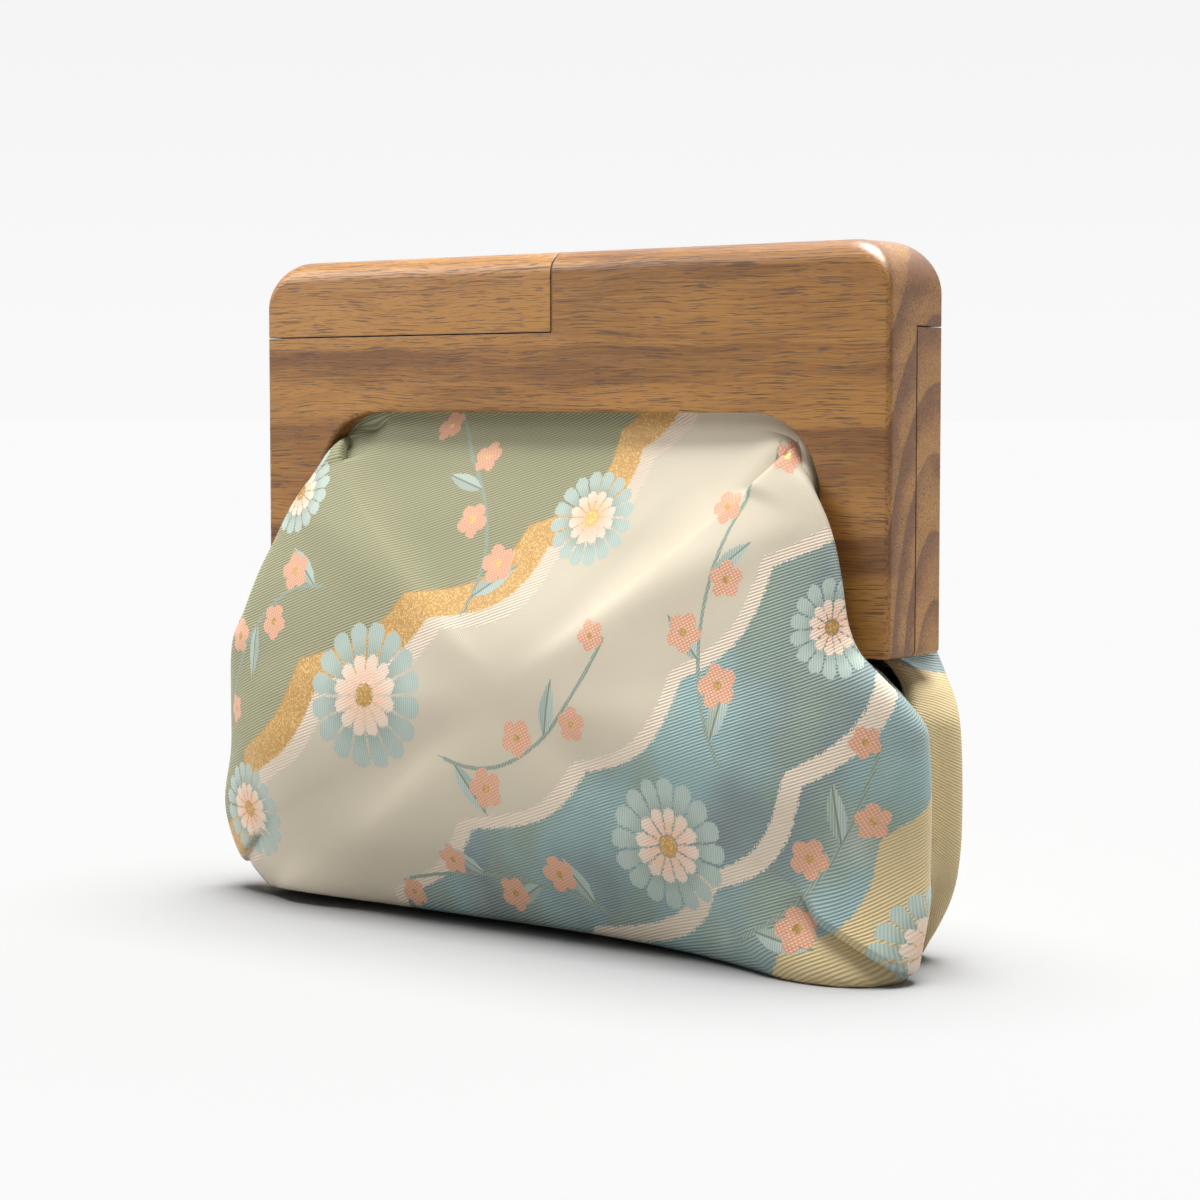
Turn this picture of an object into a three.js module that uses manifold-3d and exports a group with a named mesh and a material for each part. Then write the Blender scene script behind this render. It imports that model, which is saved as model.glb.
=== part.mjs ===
// Wooden-framed clutch bag, in millimetres, +Z up, front towards -Y.
// The origin is on the floor, under the middle of the bag.
// Two wooden U-shaped frame halves close against each other: their lips interlock above the bar.
// Two cloth panels hang in a groove round the inside of the frame and are sewn together below it.
import * as THREE from "three";
import { mergeVertices } from "three/addons/utils/BufferGeometryUtils.js";
import Module from "manifold-3d";

const wasm = await Module();
wasm.setup();

// Driving dimensions of the wooden frame
const FRAME_WIDTH = 254;
const FRAME_DEPTH = 30;
const FRAME_FOOT = 94;
const FRAME_TOP = 218;
const BAR_HEIGHT = 51.4;
const LIP_HEIGHT = 25.8;
const LEG_WIDTH = 25;
const OUTER_CORNER = 16;
const TOP_ROUNDING = 7;
const OPENING_CORNER = 25;
const FOOT_ROUNDING = 2;
const MATING_GAP = 0.6;
const ARC_SEGMENTS = 10;
const MERGE_DISTANCE = 0.0001;

// Groove that holds the cloth, run round the inner face of each half
const GROOVE_FROM_MIDDLE = 7.5;
const GROOVE_WIDTH = 3.4;
const GROOVE_DEPTH = 4;

// Hidden hinge pin in the foot of each leg, along X
const PIN_DIAMETER = 4;
const PIN_LENGTH = 16;
const PIN_HEIGHT = 102;
const PIN_CLEARANCE = 0.3;
const PIN_SIDES = 16;

// Cloth panels
const CLOTH_THICKNESS = 2;
const SEAM_GAP = 0.6;
const SEAM_ALLOWANCE = 5;
const SEAM_OPENING = 0.2;
const TUCK_IN_GROOVE = 4.2;
const MOUTH_INSET = 0.9;
const BACK_FULLNESS = 0.66;
const BACK_SPREAD = 0.6;
const SPREAD_FROM = 124;

// Values that follow from the driving dimensions
const OPENING_HALF = FRAME_WIDTH / 2 - LEG_WIDTH;
const OPENING_TOP = FRAME_TOP - BAR_HEIGHT;
const LIP_SEAM = FRAME_TOP - LIP_HEIGHT;
const CORNER_X = OPENING_HALF - OPENING_CORNER;
const CORNER_Z = OPENING_TOP - OPENING_CORNER;
const SEAM_FROM_MIDDLE = (CLOTH_THICKNESS + SEAM_GAP) / 2;

const walnut = new THREE.MeshStandardMaterial({ color: 0xac7c50, roughness: 0.55, metalness: 0 });
const brocade = new THREE.MeshStandardMaterial({ color: 0xb9b699, roughness: 0.7, metalness: 0 });
const steel = new THREE.MeshStandardMaterial({ color: 0x9a9a9a, roughness: 0.35, metalness: 1 });

// A closed three.js geometry as a solid that can be joined and cut
function solidOf(geometry) {
  const bare = new THREE.BufferGeometry();
  bare.setAttribute("position", geometry.getAttribute("position"));
  bare.setIndex(geometry.getIndex());
  const merged = mergeVertices(bare, MERGE_DISTANCE);
  const mesh = new wasm.Mesh({
    numProp: 3,
    vertProperties: new Float32Array(merged.getAttribute("position").array),
    triVerts: new Uint32Array(merged.getIndex().array),
  });
  return new wasm.Manifold(mesh);
}

function geometryOf(solid) {
  const mesh = solid.getMesh();
  const geometry = new THREE.BufferGeometry();
  geometry.setAttribute("position", new THREE.BufferAttribute(mesh.vertProperties, 3));
  geometry.setIndex(new THREE.BufferAttribute(mesh.triVerts, 1));
  geometry.computeVertexNormals();
  return geometry;
}

function boxSolid(low, high) {
  const size = high.map((value, axis) => value - low[axis]);
  const middle = high.map((value, axis) => (value + low[axis]) / 2);
  return solidOf(new THREE.BoxGeometry(...size).translate(...middle));
}

// A shape drawn in X and Z, run along Y from front to back
function slabAcross(shape, front, back) {
  const options = { depth: back - front, bevelEnabled: false, curveSegments: ARC_SEGMENTS };
  const standing = new THREE.Matrix4().makeBasis(
    new THREE.Vector3(1, 0, 0),
    new THREE.Vector3(0, 0, 1),
    new THREE.Vector3(0, -1, 0),
  );
  return solidOf(new THREE.ExtrudeGeometry(shape, options).applyMatrix4(standing).translate(0, back, 0));
}

// A shape drawn in Y and Z, run along X over the whole width
function slabAlong(shape) {
  const options = { depth: FRAME_WIDTH, bevelEnabled: false, curveSegments: ARC_SEGMENTS };
  const turned = new THREE.Matrix4().makeBasis(
    new THREE.Vector3(0, 1, 0),
    new THREE.Vector3(0, 0, 1),
    new THREE.Vector3(1, 0, 0),
  );
  const geometry = new THREE.ExtrudeGeometry(shape, options).applyMatrix4(turned);
  return solidOf(geometry.translate(-FRAME_WIDTH / 2, 0, 0));
}

// Front view of the frame: a bar with a leg at each end
function frameOutline() {
  const half = FRAME_WIDTH / 2;
  const foot = FRAME_FOOT + FOOT_ROUNDING;
  const quarter = Math.PI / 2;
  const outline = new THREE.Shape();
  outline.moveTo(-half, foot);
  outline.absarc(-half + OUTER_CORNER, FRAME_TOP - OUTER_CORNER, OUTER_CORNER, Math.PI, quarter, true);
  outline.absarc(half - OUTER_CORNER, FRAME_TOP - OUTER_CORNER, OUTER_CORNER, quarter, 0, true);
  outline.absarc(half - FOOT_ROUNDING, foot, FOOT_ROUNDING, 0, -quarter, true);
  outline.absarc(OPENING_HALF + FOOT_ROUNDING, foot, FOOT_ROUNDING, -quarter, -Math.PI, true);
  outline.absarc(CORNER_X, CORNER_Z, OPENING_CORNER, 0, quarter, false);
  outline.absarc(-CORNER_X, CORNER_Z, OPENING_CORNER, quarter, Math.PI, false);
  outline.absarc(-OPENING_HALF - FOOT_ROUNDING, foot, FOOT_ROUNDING, 0, -quarter, true);
  outline.absarc(-half + FOOT_ROUNDING, foot, FOOT_ROUNDING, -quarter, -Math.PI, true);
  return outline;
}

// End view of the frame: upright sides and a rounded top
function frameProfile() {
  const half = FRAME_DEPTH / 2;
  const shoulder = FRAME_TOP - TOP_ROUNDING;
  const profile = new THREE.Shape();
  profile.moveTo(-half, FRAME_FOOT);
  profile.lineTo(half, FRAME_FOOT);
  profile.absarc(half - TOP_ROUNDING, shoulder, TOP_ROUNDING, 0, Math.PI / 2, false);
  profile.absarc(-half + TOP_ROUNDING, shoulder, TOP_ROUNDING, Math.PI / 2, Math.PI, false);
  return profile;
}

// Opening of the frame grown by the depth of the groove, open at the feet
function grooveOutline() {
  const half = OPENING_HALF + GROOVE_DEPTH;
  const radius = OPENING_CORNER + GROOVE_DEPTH;
  const below = FRAME_FOOT - GROOVE_DEPTH;
  const outline = new THREE.Shape();
  outline.moveTo(-half, below);
  outline.lineTo(half, below);
  outline.absarc(CORNER_X, CORNER_Z, radius, 0, Math.PI / 2, false);
  outline.absarc(-CORNER_X, CORNER_Z, radius, Math.PI / 2, Math.PI, false);
  return outline;
}

function pinShape(side, diameter, length) {
  const radius = diameter / 2;
  const pin = new THREE.CylinderGeometry(radius, radius, length, PIN_SIDES).rotateZ(Math.PI / 2);
  return pin.translate(side * (OPENING_HALF + LEG_WIDTH / 2), 0, PIN_HEIGHT);
}

// The front half has the whole front below the lip seam and the full-depth lip on the right.
// Turned half round about Z it is the back half, whose lip is on the left.
function frameHalf() {
  const gap = MATING_GAP / 2;
  const beyond = FRAME_WIDTH;
  const plank = slabAcross(frameOutline(), -FRAME_DEPTH / 2, FRAME_DEPTH / 2);
  const wholeFrame = plank.intersect(slabAlong(frameProfile()));
  const lowerFront = boxSolid([-beyond, -beyond, 0], [beyond, -gap, LIP_SEAM - gap]);
  const upperFront = boxSolid([gap, -beyond, 0], [beyond, -gap, beyond]);
  const lip = boxSolid([gap, -beyond, LIP_SEAM + gap], [beyond, beyond, beyond]);
  const grooveFront = -GROOVE_FROM_MIDDLE - GROOVE_WIDTH / 2;
  const groove = slabAcross(grooveOutline(), grooveFront, grooveFront + GROOVE_WIDTH);
  let half = wholeFrame.intersect(lowerFront.add(upperFront).add(lip)).subtract(groove);
  for (const side of [-1, 1]) {
    const bore = pinShape(side, PIN_DIAMETER + 2 * PIN_CLEARANCE, PIN_LENGTH + 2 * PIN_CLEARANCE);
    half = half.subtract(solidOf(bore));
  }
  return geometryOf(half);
}

// Hem of the right half of a panel: where the cloth leaves the groove, or the valley of the seam.
// Each hem has the way to the cloth's hidden edge, tucked into the groove or turned into the bag.
const mouth = OPENING_CORNER - MOUTH_INSET;
const inGroove = (x, z, outX, outZ) => ({
  hem: [x, GROOVE_FROM_MIDDLE, z],
  edge: [x + outX * TUCK_IN_GROOVE, GROOVE_FROM_MIDDLE, z + outZ * TUCK_IN_GROOVE],
});
const underBar = (x) => inGroove(x, CORNER_Z + mouth, 0, 1);
const downLeg = (z) => inGroove(CORNER_X + mouth, z, 1, 0);
const roundCorner = (degrees) => {
  const outX = Math.sin(THREE.MathUtils.degToRad(degrees));
  const outZ = Math.cos(THREE.MathUtils.degToRad(degrees));
  return inGroove(CORNER_X + mouth * outX, CORNER_Z + mouth * outZ, outX, outZ);
};
const alongSeam = (x, z, degrees) => {
  const outX = Math.sin(THREE.MathUtils.degToRad(degrees));
  const outZ = Math.cos(THREE.MathUtils.degToRad(degrees));
  return {
    hem: [x, SEAM_FROM_MIDDLE + SEAM_OPENING, z],
    edge: [x - outX * SEAM_ALLOWANCE, SEAM_FROM_MIDDLE, z - outZ * SEAM_ALLOWANCE],
  };
};
const loose = (hem, edge) => ({ hem, edge });

// Sections of the right half of the front panel, from the middle of the bar round to the bottom seam.
// round: share of the way round; hem: edge of the cloth; neck: where the cloth turns outwards;
// limb: the widest point of the roll; face: a point on the front. Points are x, distance from the
// middle plane, z.
const SECTIONS = [
  { round: 0.0, ...underBar(0), neck: [0, 8.4, 162], limb: [0, 14, 151], face: [0, 25.5, 127] },
  { round: 0.12, ...underBar(40), neck: [40, 8.4, 162], limb: [39, 14, 151], face: [33, 25.5, 127] },
  { round: 0.21, ...underBar(76), neck: [75, 8.8, 162], limb: [71, 14, 152], face: [58, 24.5, 130] },
  { round: 0.25, ...roundCorner(45), neck: [92.8, 11, 157.2], limb: [90, 17, 150], face: [74, 25, 135] },
  { round: 0.3, ...downLeg(141), neck: [99.6, 16.4, 141], limb: [105.5, 20, 139], face: [85, 27, 132] },
  { round: 0.39, ...downLeg(119), neck: [99.6, 16.6, 118], limb: [116.5, 22, 117], face: [93, 30, 115] },
  { round: 0.47, ...downLeg(95.5), neck: [99.6, 17, 94.2], limb: [126, 22.5, 95.5], face: [98, 33, 96] },
  {
    round: 0.5, ...loose([102.5, 8.5, 88], [105.5, 7, 89]),
    neck: [107, 17.2, 87.5], limb: [131.5, 22, 88.5], face: [100, 34, 89],
  },
  {
    round: 0.54, ...loose([117, 4.5, 81.5], [113, 4, 82.5]),
    neck: [126, 10.5, 81], limb: [136, 20, 80.5], face: [103, 35, 81.5],
  },
  {
    round: 0.58, ...alongSeam(127, 73, 80),
    neck: [134, 6.5, 72.5], limb: [139.5, 17.5, 72], face: [106, 36, 73],
  },
  {
    round: 0.66, ...alongSeam(127.5, 50, 90),
    neck: [135.5, 6.5, 50], limb: [140.5, 17.5, 50], face: [108, 37, 55],
  },
  {
    round: 0.72, ...alongSeam(127.5, 29, 100),
    neck: [134.5, 6.5, 27.5], limb: [140, 18, 26], face: [105, 36.5, 41],
  },
  {
    round: 0.76, ...alongSeam(120, 14, 128),
    neck: [126, 7.5, 10.5], limb: [133, 21, 8], face: [97, 35, 32],
  },
  {
    round: 0.81, ...alongSeam(105, 6.5, 165),
    neck: [107, 8, 0.5], limb: [114, 22, -2.5], face: [82, 34.5, 27],
  },
  { round: 0.9, ...alongSeam(58, 5, 180), neck: [58, 6, 0], limb: [59, 13, -2.5], face: [50, 35, 26] },
  { round: 1.0, ...alongSeam(0, 5, 180), neck: [0, 5.5, 0], limb: [0, 10, -2], face: [0, 35, 26] },
];
const CENTRE = [0, 39, 78];
const RIB_POINTS = ["edge", "hem", "neck", "limb", "face"];
// Rings of quads between neighbouring rib points, from the edge to the centre of a panel
const RINGS = [2, 2, 3, 4, 5];

// Folds along the ribs. side: which half; round: where; from, to: rib positions, 0 at the edge and
// 5 at the centre; width and depth in mm, a valley where the depth is negative.
// The narrow valleys near round 0.75 are the corner darts, the broad rows are slack or full places.
const FRONT_FOLDS = [
  { side: 1, round: 0.262, from: 1.8, to: 4.05, width: 5, depth: -2.6 },
  { side: 1, round: 0.238, from: 2.1, to: 4.0, width: 6, depth: 1.8 },
  { side: 1, round: 0.42, from: 2.2, to: 4.4, width: 30, depth: -3.6 },
  { side: 1, round: 0.752, from: 1.0, to: 3.9, width: 4.5, depth: -2.4 },
  { side: 1, round: 0.785, from: 1.8, to: 4.6, width: 18, depth: 6.5 },
  { side: -1, round: 0.225, from: 1.5, to: 3.5, width: 6, depth: -3 },
  { side: -1, round: 0.262, from: 2.1, to: 3.9, width: 7, depth: 2.4 },
  { side: -1, round: 0.46, from: 2.2, to: 4.6, width: 26, depth: 4.2 },
  { side: -1, round: 0.715, from: 2.2, to: 4.2, width: 14, depth: 2.5 },
  { side: -1, round: 0.748, from: 1.0, to: 3.9, width: 4.5, depth: -2.4 },
  { side: -1, round: 0.79, from: 1.8, to: 4.4, width: 18, depth: -5 },
];
const BACK_FOLDS = [
  { side: 1, round: 0.255, from: 1.8, to: 4.0, width: 5, depth: -2.4 },
  { side: 1, round: 0.23, from: 2.1, to: 3.8, width: 6, depth: 1.6 },
  { side: 1, round: 0.75, from: 1.0, to: 3.9, width: 4.5, depth: -2.2 },
  { side: 1, round: 0.78, from: 1.8, to: 4.4, width: 20, depth: -2 },
  { side: -1, round: 0.25, from: 1.8, to: 4.0, width: 5, depth: -2.4 },
  { side: -1, round: 0.275, from: 2.2, to: 4.0, width: 6, depth: 1.6 },
  { side: -1, round: 0.75, from: 1.0, to: 3.9, width: 4.5, depth: -2.2 },
];

// fullness: share of the sections' depth; spread: share of the width that lies past SPREAD_FROM
const FRONT_FORM = { fullness: 1, spread: 1, folds: FRONT_FOLDS };
const BACK_FORM = { fullness: BACK_FULLNESS, spread: BACK_SPREAD, folds: BACK_FOLDS };

// Cubic through a column of values that never overshoots them
function monotoneSpline(knots, values) {
  const step = (i) => knots[i + 1] - knots[i];
  const rise = (i) => (values[i + 1] - values[i]) / step(i);
  const last = knots.length - 1;
  const slopes = values.map((_, i) => {
    if (i === 0 || i === last) return 0;
    const before = rise(i - 1);
    const after = rise(i);
    if (before * after <= 0) return 0;
    return (2 * before * after) / (before + after);
  });
  return (at) => {
    let i = 0;
    while (i < last - 1 && at > knots[i + 1]) i += 1;
    const width = step(i);
    const t = (at - knots[i]) / width;
    const pull = t * t * (3 - 2 * t);
    const leave = t * (1 - t) * (1 - t) * width;
    const arrive = t * t * (t - 1) * width;
    return values[i] * (1 - pull) + values[i + 1] * pull + slopes[i] * leave + slopes[i + 1] * arrive;
  };
}

const rounds = SECTIONS.map((section) => section.round);
const columns = {};
for (const name of RIB_POINTS) {
  columns[name] = [0, 1, 2].map((axis) => {
    return monotoneSpline(rounds, SECTIONS.map((section) => section[name][axis]));
  });
}

// One rib of a panel, from the hidden edge to the centre, as a smooth curve
function ribCurve(round, { fullness, spread }) {
  const sectionPoint = (name) => new THREE.Vector3(...columns[name].map((column) => column(round)));
  const points = RIB_POINTS.map(sectionPoint);
  const centre = new THREE.Vector3(...CENTRE);
  const [, , neck, limb, face] = points;
  for (const point of [limb, face, centre]) point.y = neck.y + (point.y - neck.y) * fullness;
  for (const point of [neck, limb]) point.x -= Math.max(point.x - SPREAD_FROM, 0) * (1 - spread);
  const past = new THREE.Vector3(2 * centre.x - face.x, face.y, 2 * centre.z - face.z);
  return new THREE.CatmullRomCurve3([...points, centre, past], false, "centripetal");
}

function ribPoint(curve, position) {
  return curve.getPoint(position / (RIB_POINTS.length + 1));
}

// Height of the folds at a point of a rib
function foldHeight(side, round, position, point, form) {
  let height = 0;
  for (const fold of form.folds) {
    if (fold.side !== side || position <= fold.from || position >= fold.to) continue;
    const away = point.distanceTo(ribPoint(ribCurve(fold.round, form), position)) / fold.width;
    const along = (position - fold.from) / (fold.to - fold.from);
    height += fold.depth * Math.exp(-away * away) * Math.sin(Math.PI * Math.sqrt(along));
  }
  return height;
}

// Grid of a panel: nested squares, the outermost on the edge of the cloth
function panelGrid(form) {
  const ringPositions = [0];
  RINGS.forEach((count, stretch) => {
    for (let k = 1; k <= count; k += 1) ringPositions.push(stretch + k / count);
  });
  const rings = ringPositions.length - 1;
  const size = 2 * rings;
  const points = [];
  for (let row = 0; row <= size; row += 1) {
    for (let col = 0; col <= size; col += 1) {
      const across = col - rings;
      const up = rings - row;
      const ring = Math.max(Math.abs(across), Math.abs(up));
      const out = Math.abs(across);
      let round = 0;
      if (ring > 0 && up === ring) round = out / (4 * ring);
      else if (ring > 0 && up === -ring) round = 1 - out / (4 * ring);
      else if (ring > 0) round = (2 * ring - up) / (4 * ring);
      const side = across < 0 ? -1 : 1;
      const position = ringPositions[rings - ring];
      const point = ribPoint(ribCurve(round, form), position);
      const fold = foldHeight(side, round, position, point, form);
      points.push({ place: new THREE.Vector3(side * point.x, -point.y, point.z), fold });
    }
  }
  return { points, size };
}

function gridTriangles(size) {
  const triangles = [];
  for (let row = 0; row < size; row += 1) {
    for (let col = 0; col < size; col += 1) {
      const a = row * (size + 1) + col;
      const b = a + size + 1;
      if ((row < size / 2) === (col < size / 2)) triangles.push(a, b, b + 1, a, b + 1, a + 1);
      else triangles.push(a, b, a + 1, b, b + 1, a + 1);
    }
  }
  return triangles;
}

function edgeLoop(size) {
  const loop = [];
  const stride = size + 1;
  for (let k = 0; k < size; k += 1) loop.push(k * stride);
  for (let k = 0; k < size; k += 1) loop.push(size * stride + k);
  for (let k = size; k > 0; k -= 1) loop.push(k * stride + size);
  for (let k = size; k > 0; k -= 1) loop.push(k);
  return loop;
}

// Outward direction at each point of a grid of places
function gridNormals(places, triangles) {
  const sheet = new THREE.BufferGeometry().setFromPoints(places);
  sheet.setIndex(triangles);
  sheet.computeVertexNormals();
  const normals = sheet.getAttribute("normal");
  return places.map((_, i) => new THREE.Vector3().fromBufferAttribute(normals, i));
}

// A cloth panel with its wall thickness, standing flat on the floor. facing is -1 for the front.
function clothPanel(facing, form) {
  const { points, size } = panelGrid(form);
  const triangles = gridTriangles(size);
  const half = CLOTH_THICKNESS / 2;
  const smooth = gridNormals(points.map((point) => point.place), triangles);
  const middle = points.map((point, i) => {
    const folded = point.place.clone().addScaledVector(smooth[i], point.fold);
    folded.z = Math.max(folded.z, half);
    return folded;
  });
  const normals = gridNormals(middle, triangles);
  const outer = middle.map((point, i) => point.clone().addScaledVector(normals[i], half));
  const inner = middle.map((point, i) => point.clone().addScaledVector(normals[i], -half));
  const wall = [...outer, ...inner];
  for (const point of wall) {
    point.z = Math.max(point.z, 0);
    point.y *= -facing;
  }
  const count = outer.length;
  const faces = [...triangles];
  for (let i = 0; i < triangles.length; i += 3) {
    faces.push(triangles[i] + count, triangles[i + 2] + count, triangles[i + 1] + count);
  }
  const loop = edgeLoop(size);
  loop.forEach((from, k) => {
    const to = loop[(k + 1) % loop.length];
    faces.push(from, from + count, to, to, from + count, to + count);
  });
  if (facing > 0) faces.reverse();
  const geometry = new THREE.BufferGeometry().setFromPoints(wall);
  geometry.setIndex(faces);
  geometry.computeVertexNormals();
  return geometry;
}

const pieces = new THREE.Group();

function addPiece(name, geometry, material) {
  const piece = new THREE.Mesh(geometry, material);
  piece.name = name;
  pieces.add(piece);
  return piece;
}

const halfFrame = frameHalf();
addPiece("frame_front", halfFrame, walnut);
addPiece("frame_back", halfFrame, walnut).rotation.z = Math.PI;
addPiece("panel_front", clothPanel(-1, FRONT_FORM), brocade);
addPiece("panel_back", clothPanel(1, BACK_FORM), brocade);
addPiece("hinge_pin_left", pinShape(-1, PIN_DIAMETER, PIN_LENGTH), steel);
addPiece("hinge_pin_right", pinShape(1, PIN_DIAMETER, PIN_LENGTH), steel);

// The fuller front puts the frame's middle plane a little behind the middle of the bag
const box = new THREE.Box3().setFromObject(pieces);
const middle = box.getCenter(new THREE.Vector3());
pieces.position.set(-middle.x, -middle.y, -box.min.z);
const bag = new THREE.Group().add(pieces);

export default bag;
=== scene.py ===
# %% [markdown]
# # A clutch bag with a wooden frame
# The bag has three kinds of piece: two halves of a wooden frame, two panels of brocade that hang in it,
# and the thread that sews the panels together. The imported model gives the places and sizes, and this
# lesson dresses it. Everything is in metres, +Z is up and the front looks towards -Y.

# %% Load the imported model
import math
from collections import namedtuple

import bmesh
import bpy
import numpy as np
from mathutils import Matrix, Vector


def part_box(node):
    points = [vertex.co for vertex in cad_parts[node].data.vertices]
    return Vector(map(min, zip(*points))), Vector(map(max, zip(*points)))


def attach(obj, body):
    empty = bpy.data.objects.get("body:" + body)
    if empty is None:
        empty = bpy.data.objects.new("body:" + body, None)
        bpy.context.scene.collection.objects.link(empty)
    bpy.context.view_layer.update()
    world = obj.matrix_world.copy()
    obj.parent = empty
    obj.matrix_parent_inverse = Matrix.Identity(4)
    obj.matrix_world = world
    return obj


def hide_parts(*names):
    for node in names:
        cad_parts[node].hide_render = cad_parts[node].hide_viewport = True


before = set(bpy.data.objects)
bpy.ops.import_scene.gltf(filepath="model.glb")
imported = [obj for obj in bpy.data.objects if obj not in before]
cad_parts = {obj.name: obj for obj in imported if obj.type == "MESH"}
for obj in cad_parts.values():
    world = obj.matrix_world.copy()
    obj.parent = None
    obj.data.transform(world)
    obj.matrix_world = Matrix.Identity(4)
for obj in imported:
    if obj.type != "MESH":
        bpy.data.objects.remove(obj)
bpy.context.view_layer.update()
MM = 0.001
front_low, front_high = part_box("frame_front")
back_low, back_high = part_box("frame_back")
MIDDLE = Vector((front_low + front_high + back_low + back_high) / 4)
MIDDLE.z = 0.0
print("middle of the frame:", [round(v / MM, 2) for v in MIDDLE], "mm from the origin")

# %% [markdown]
# ## Small tools for making pieces
# A finished piece is a plain mesh whose place is in its points. Modifiers do the cutting and smoothing,
# and `settle` turns what they show into that plain mesh. Working this way keeps each piece easy to
# measure and to export.


# %% Tools for meshes
def place(points):
    """Points drawn about the middle of the frame, moved to where the frame stands."""
    return np.asarray(points, dtype=float) + np.array(MIDDLE)


def show(name, data):
    """An object in the scene for a mesh, a lamp or a camera."""
    thing = bpy.data.objects.new(name, data)
    bpy.context.scene.collection.objects.link(thing)
    return thing


def new_piece(name, points, faces):
    """A mesh from points and faces, as an object in the scene."""
    mesh = bpy.data.meshes.new(name)
    mesh.from_pydata([tuple(p) for p in points], [], [tuple(f) for f in faces])
    mesh.update()
    return show(name, mesh)


def settle(piece):
    """Turns what the modifiers of a piece show into its plain mesh."""
    graph = bpy.context.evaluated_depsgraph_get()
    mesh = bpy.data.meshes.new_from_object(piece.evaluated_get(graph))
    piece.modifiers.clear()
    piece.data = mesh


def size_text(piece):
    """Name, size and number of faces of a piece, for a print."""
    corners = np.array([v.co for v in piece.data.vertices])
    width, depth, height = (corners.max(0) - corners.min(0)) / MM
    return f"{piece.name}: {width:.1f} x {depth:.1f} x {height:.1f} mm, {len(piece.data.polygons)} faces"


# %% [markdown]
# ## Shader maths as plain expressions
# A finish is a formula over the surface. Wiring every Math node by hand hides that formula, so a small
# class wraps a node's output: adding, multiplying or comparing two wraps adds the Math node for it.
# Colours are never put through Math nodes, which turn them grey. They go through `blend`.


# %% Sockets that can be used in sums
class Wire:
    """One output of a node, which can stand in an expression."""

    def __init__(self, finish, socket):
        self.finish = finish
        self.socket = socket

    def math(self, operation, *others):
        """A Math node on this value and others."""
        values = dict(enumerate((self, *others)))
        return self.finish.node("ShaderNodeMath", {"operation": operation}, values)

    def vector(self, operation, other):
        """A Vector Math node on this vector and another."""
        return self.finish.node("ShaderNodeVectorMath", {"operation": operation}, {0: self, 1: other})

    def step(self, low, high):
        """0 below low, 1 above high and a smooth rise between them."""
        settings = {"interpolation_type": "SMOOTHSTEP"}
        values = {"Value": self, "From Min": low, "From Max": high}
        return self.finish.node("ShaderNodeMapRange", settings, values)

    def parts(self):
        """The X, Y and Z of a vector."""
        return [self.finish.node("ShaderNodeSeparateXYZ", {}, {0: self}, i) for i in range(3)]

    def __add__(self, other):
        return self.math("ADD", other)

    def __sub__(self, other):
        return self.math("SUBTRACT", other)

    def __rsub__(self, other):
        return (self * -1.0) + other

    def __mul__(self, other):
        return self.math("MULTIPLY", other)

    def __truediv__(self, other):
        return self.math("DIVIDE", other)

    def __gt__(self, other):
        return self.math("GREATER_THAN", other)

    def __lt__(self, other):
        return self.math("LESS_THAN", other)

    __radd__ = __add__
    __rmul__ = __mul__


# %% A finish under construction
class Finish:
    """A material whose nodes are added one expression at a time."""

    def __init__(self, name):
        self.material = bpy.data.materials.new(name)
        self.material.use_nodes = True
        self.tree = self.material.node_tree
        self.shader = self.tree.nodes["Principled BSDF"]

    @classmethod
    def of_tree(cls, tree, shader):
        """The same tools on a tree that is there already, such as the sky's."""
        finish = cls.__new__(cls)
        finish.tree, finish.shader = tree, tree.nodes[shader]
        return finish

    def node(self, kind, settings, values, output=0):
        """Any node: its type, its settings, then the values or wires of its sockets."""
        node = self.tree.nodes.new(kind)
        for name, setting in settings.items():
            setattr(node, name, setting)
        for key, value in values.items():
            self.feed(node.inputs[key], value)
        return Wire(self, node.outputs[output])

    def feed(self, socket, value):
        """Links a wire to a socket, or sets the socket to a plain value."""
        if isinstance(value, Wire):
            self.tree.links.new(value.socket, socket)
        else:
            socket.default_value = value

    def blend(self, factor, first, second):
        """The first colour where the factor is 0, the second where it is 1.

        A Mix node takes its colours on sockets 6 and 7 and gives their blend on output 2.
        """
        settings = {"data_type": "RGBA"}
        return self.node("ShaderNodeMix", settings, {0: factor, 6: first, 7: second}, 2)

    def noise(self, place, scale, detail=2.0, rough=0.5):
        values = {"Vector": place, "Scale": scale, "Detail": detail, "Roughness": rough}
        return self.node("ShaderNodeTexNoise", {}, values)

    def join(self, x, y, z):
        return self.node("ShaderNodeCombineXYZ", {}, {0: x, 1: y, 2: z})

    def bump(self, height, depth, strength=1.0):
        """Feeds a height map, whose full range is a depth in metres, into the normal."""
        values = {"Height": height, "Distance": depth, "Strength": strength}
        self.feed(self.shader.inputs["Normal"], self.node("ShaderNodeBump", {}, values))

    def surface(self, **values):
        """Sockets of the shader: underscores in a name stand for spaces."""
        for name, value in values.items():
            self.feed(self.shader.inputs[name.replace("_", " ")], value)


def colour(red, green, blue):
    """A colour given as it looks on screen, 0 to 255, as the linear one that shaders use (sRGB curve)."""
    shares = [v / 255 for v in (red, green, blue)]
    linear = [s / 12.92 if s < 0.0405 else ((s + 0.055) / 1.055) ** 2.4 for s in shares]
    return (*linear, 1.0)


def grey(level):
    """A grey given as it looks on screen."""
    return colour(level, level, level)


print("finish tools ready")

# %% [markdown]
# ## The outline of the frame
# Seen from the front, each half of the frame is a bar with a leg at each end. The whole outline is eight
# arcs with straight runs between them. The edge that runs round it is a broad soft round along the top
# and only a broken edge on the legs, so each arc also says how wide the edge is at its two ends.

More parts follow.
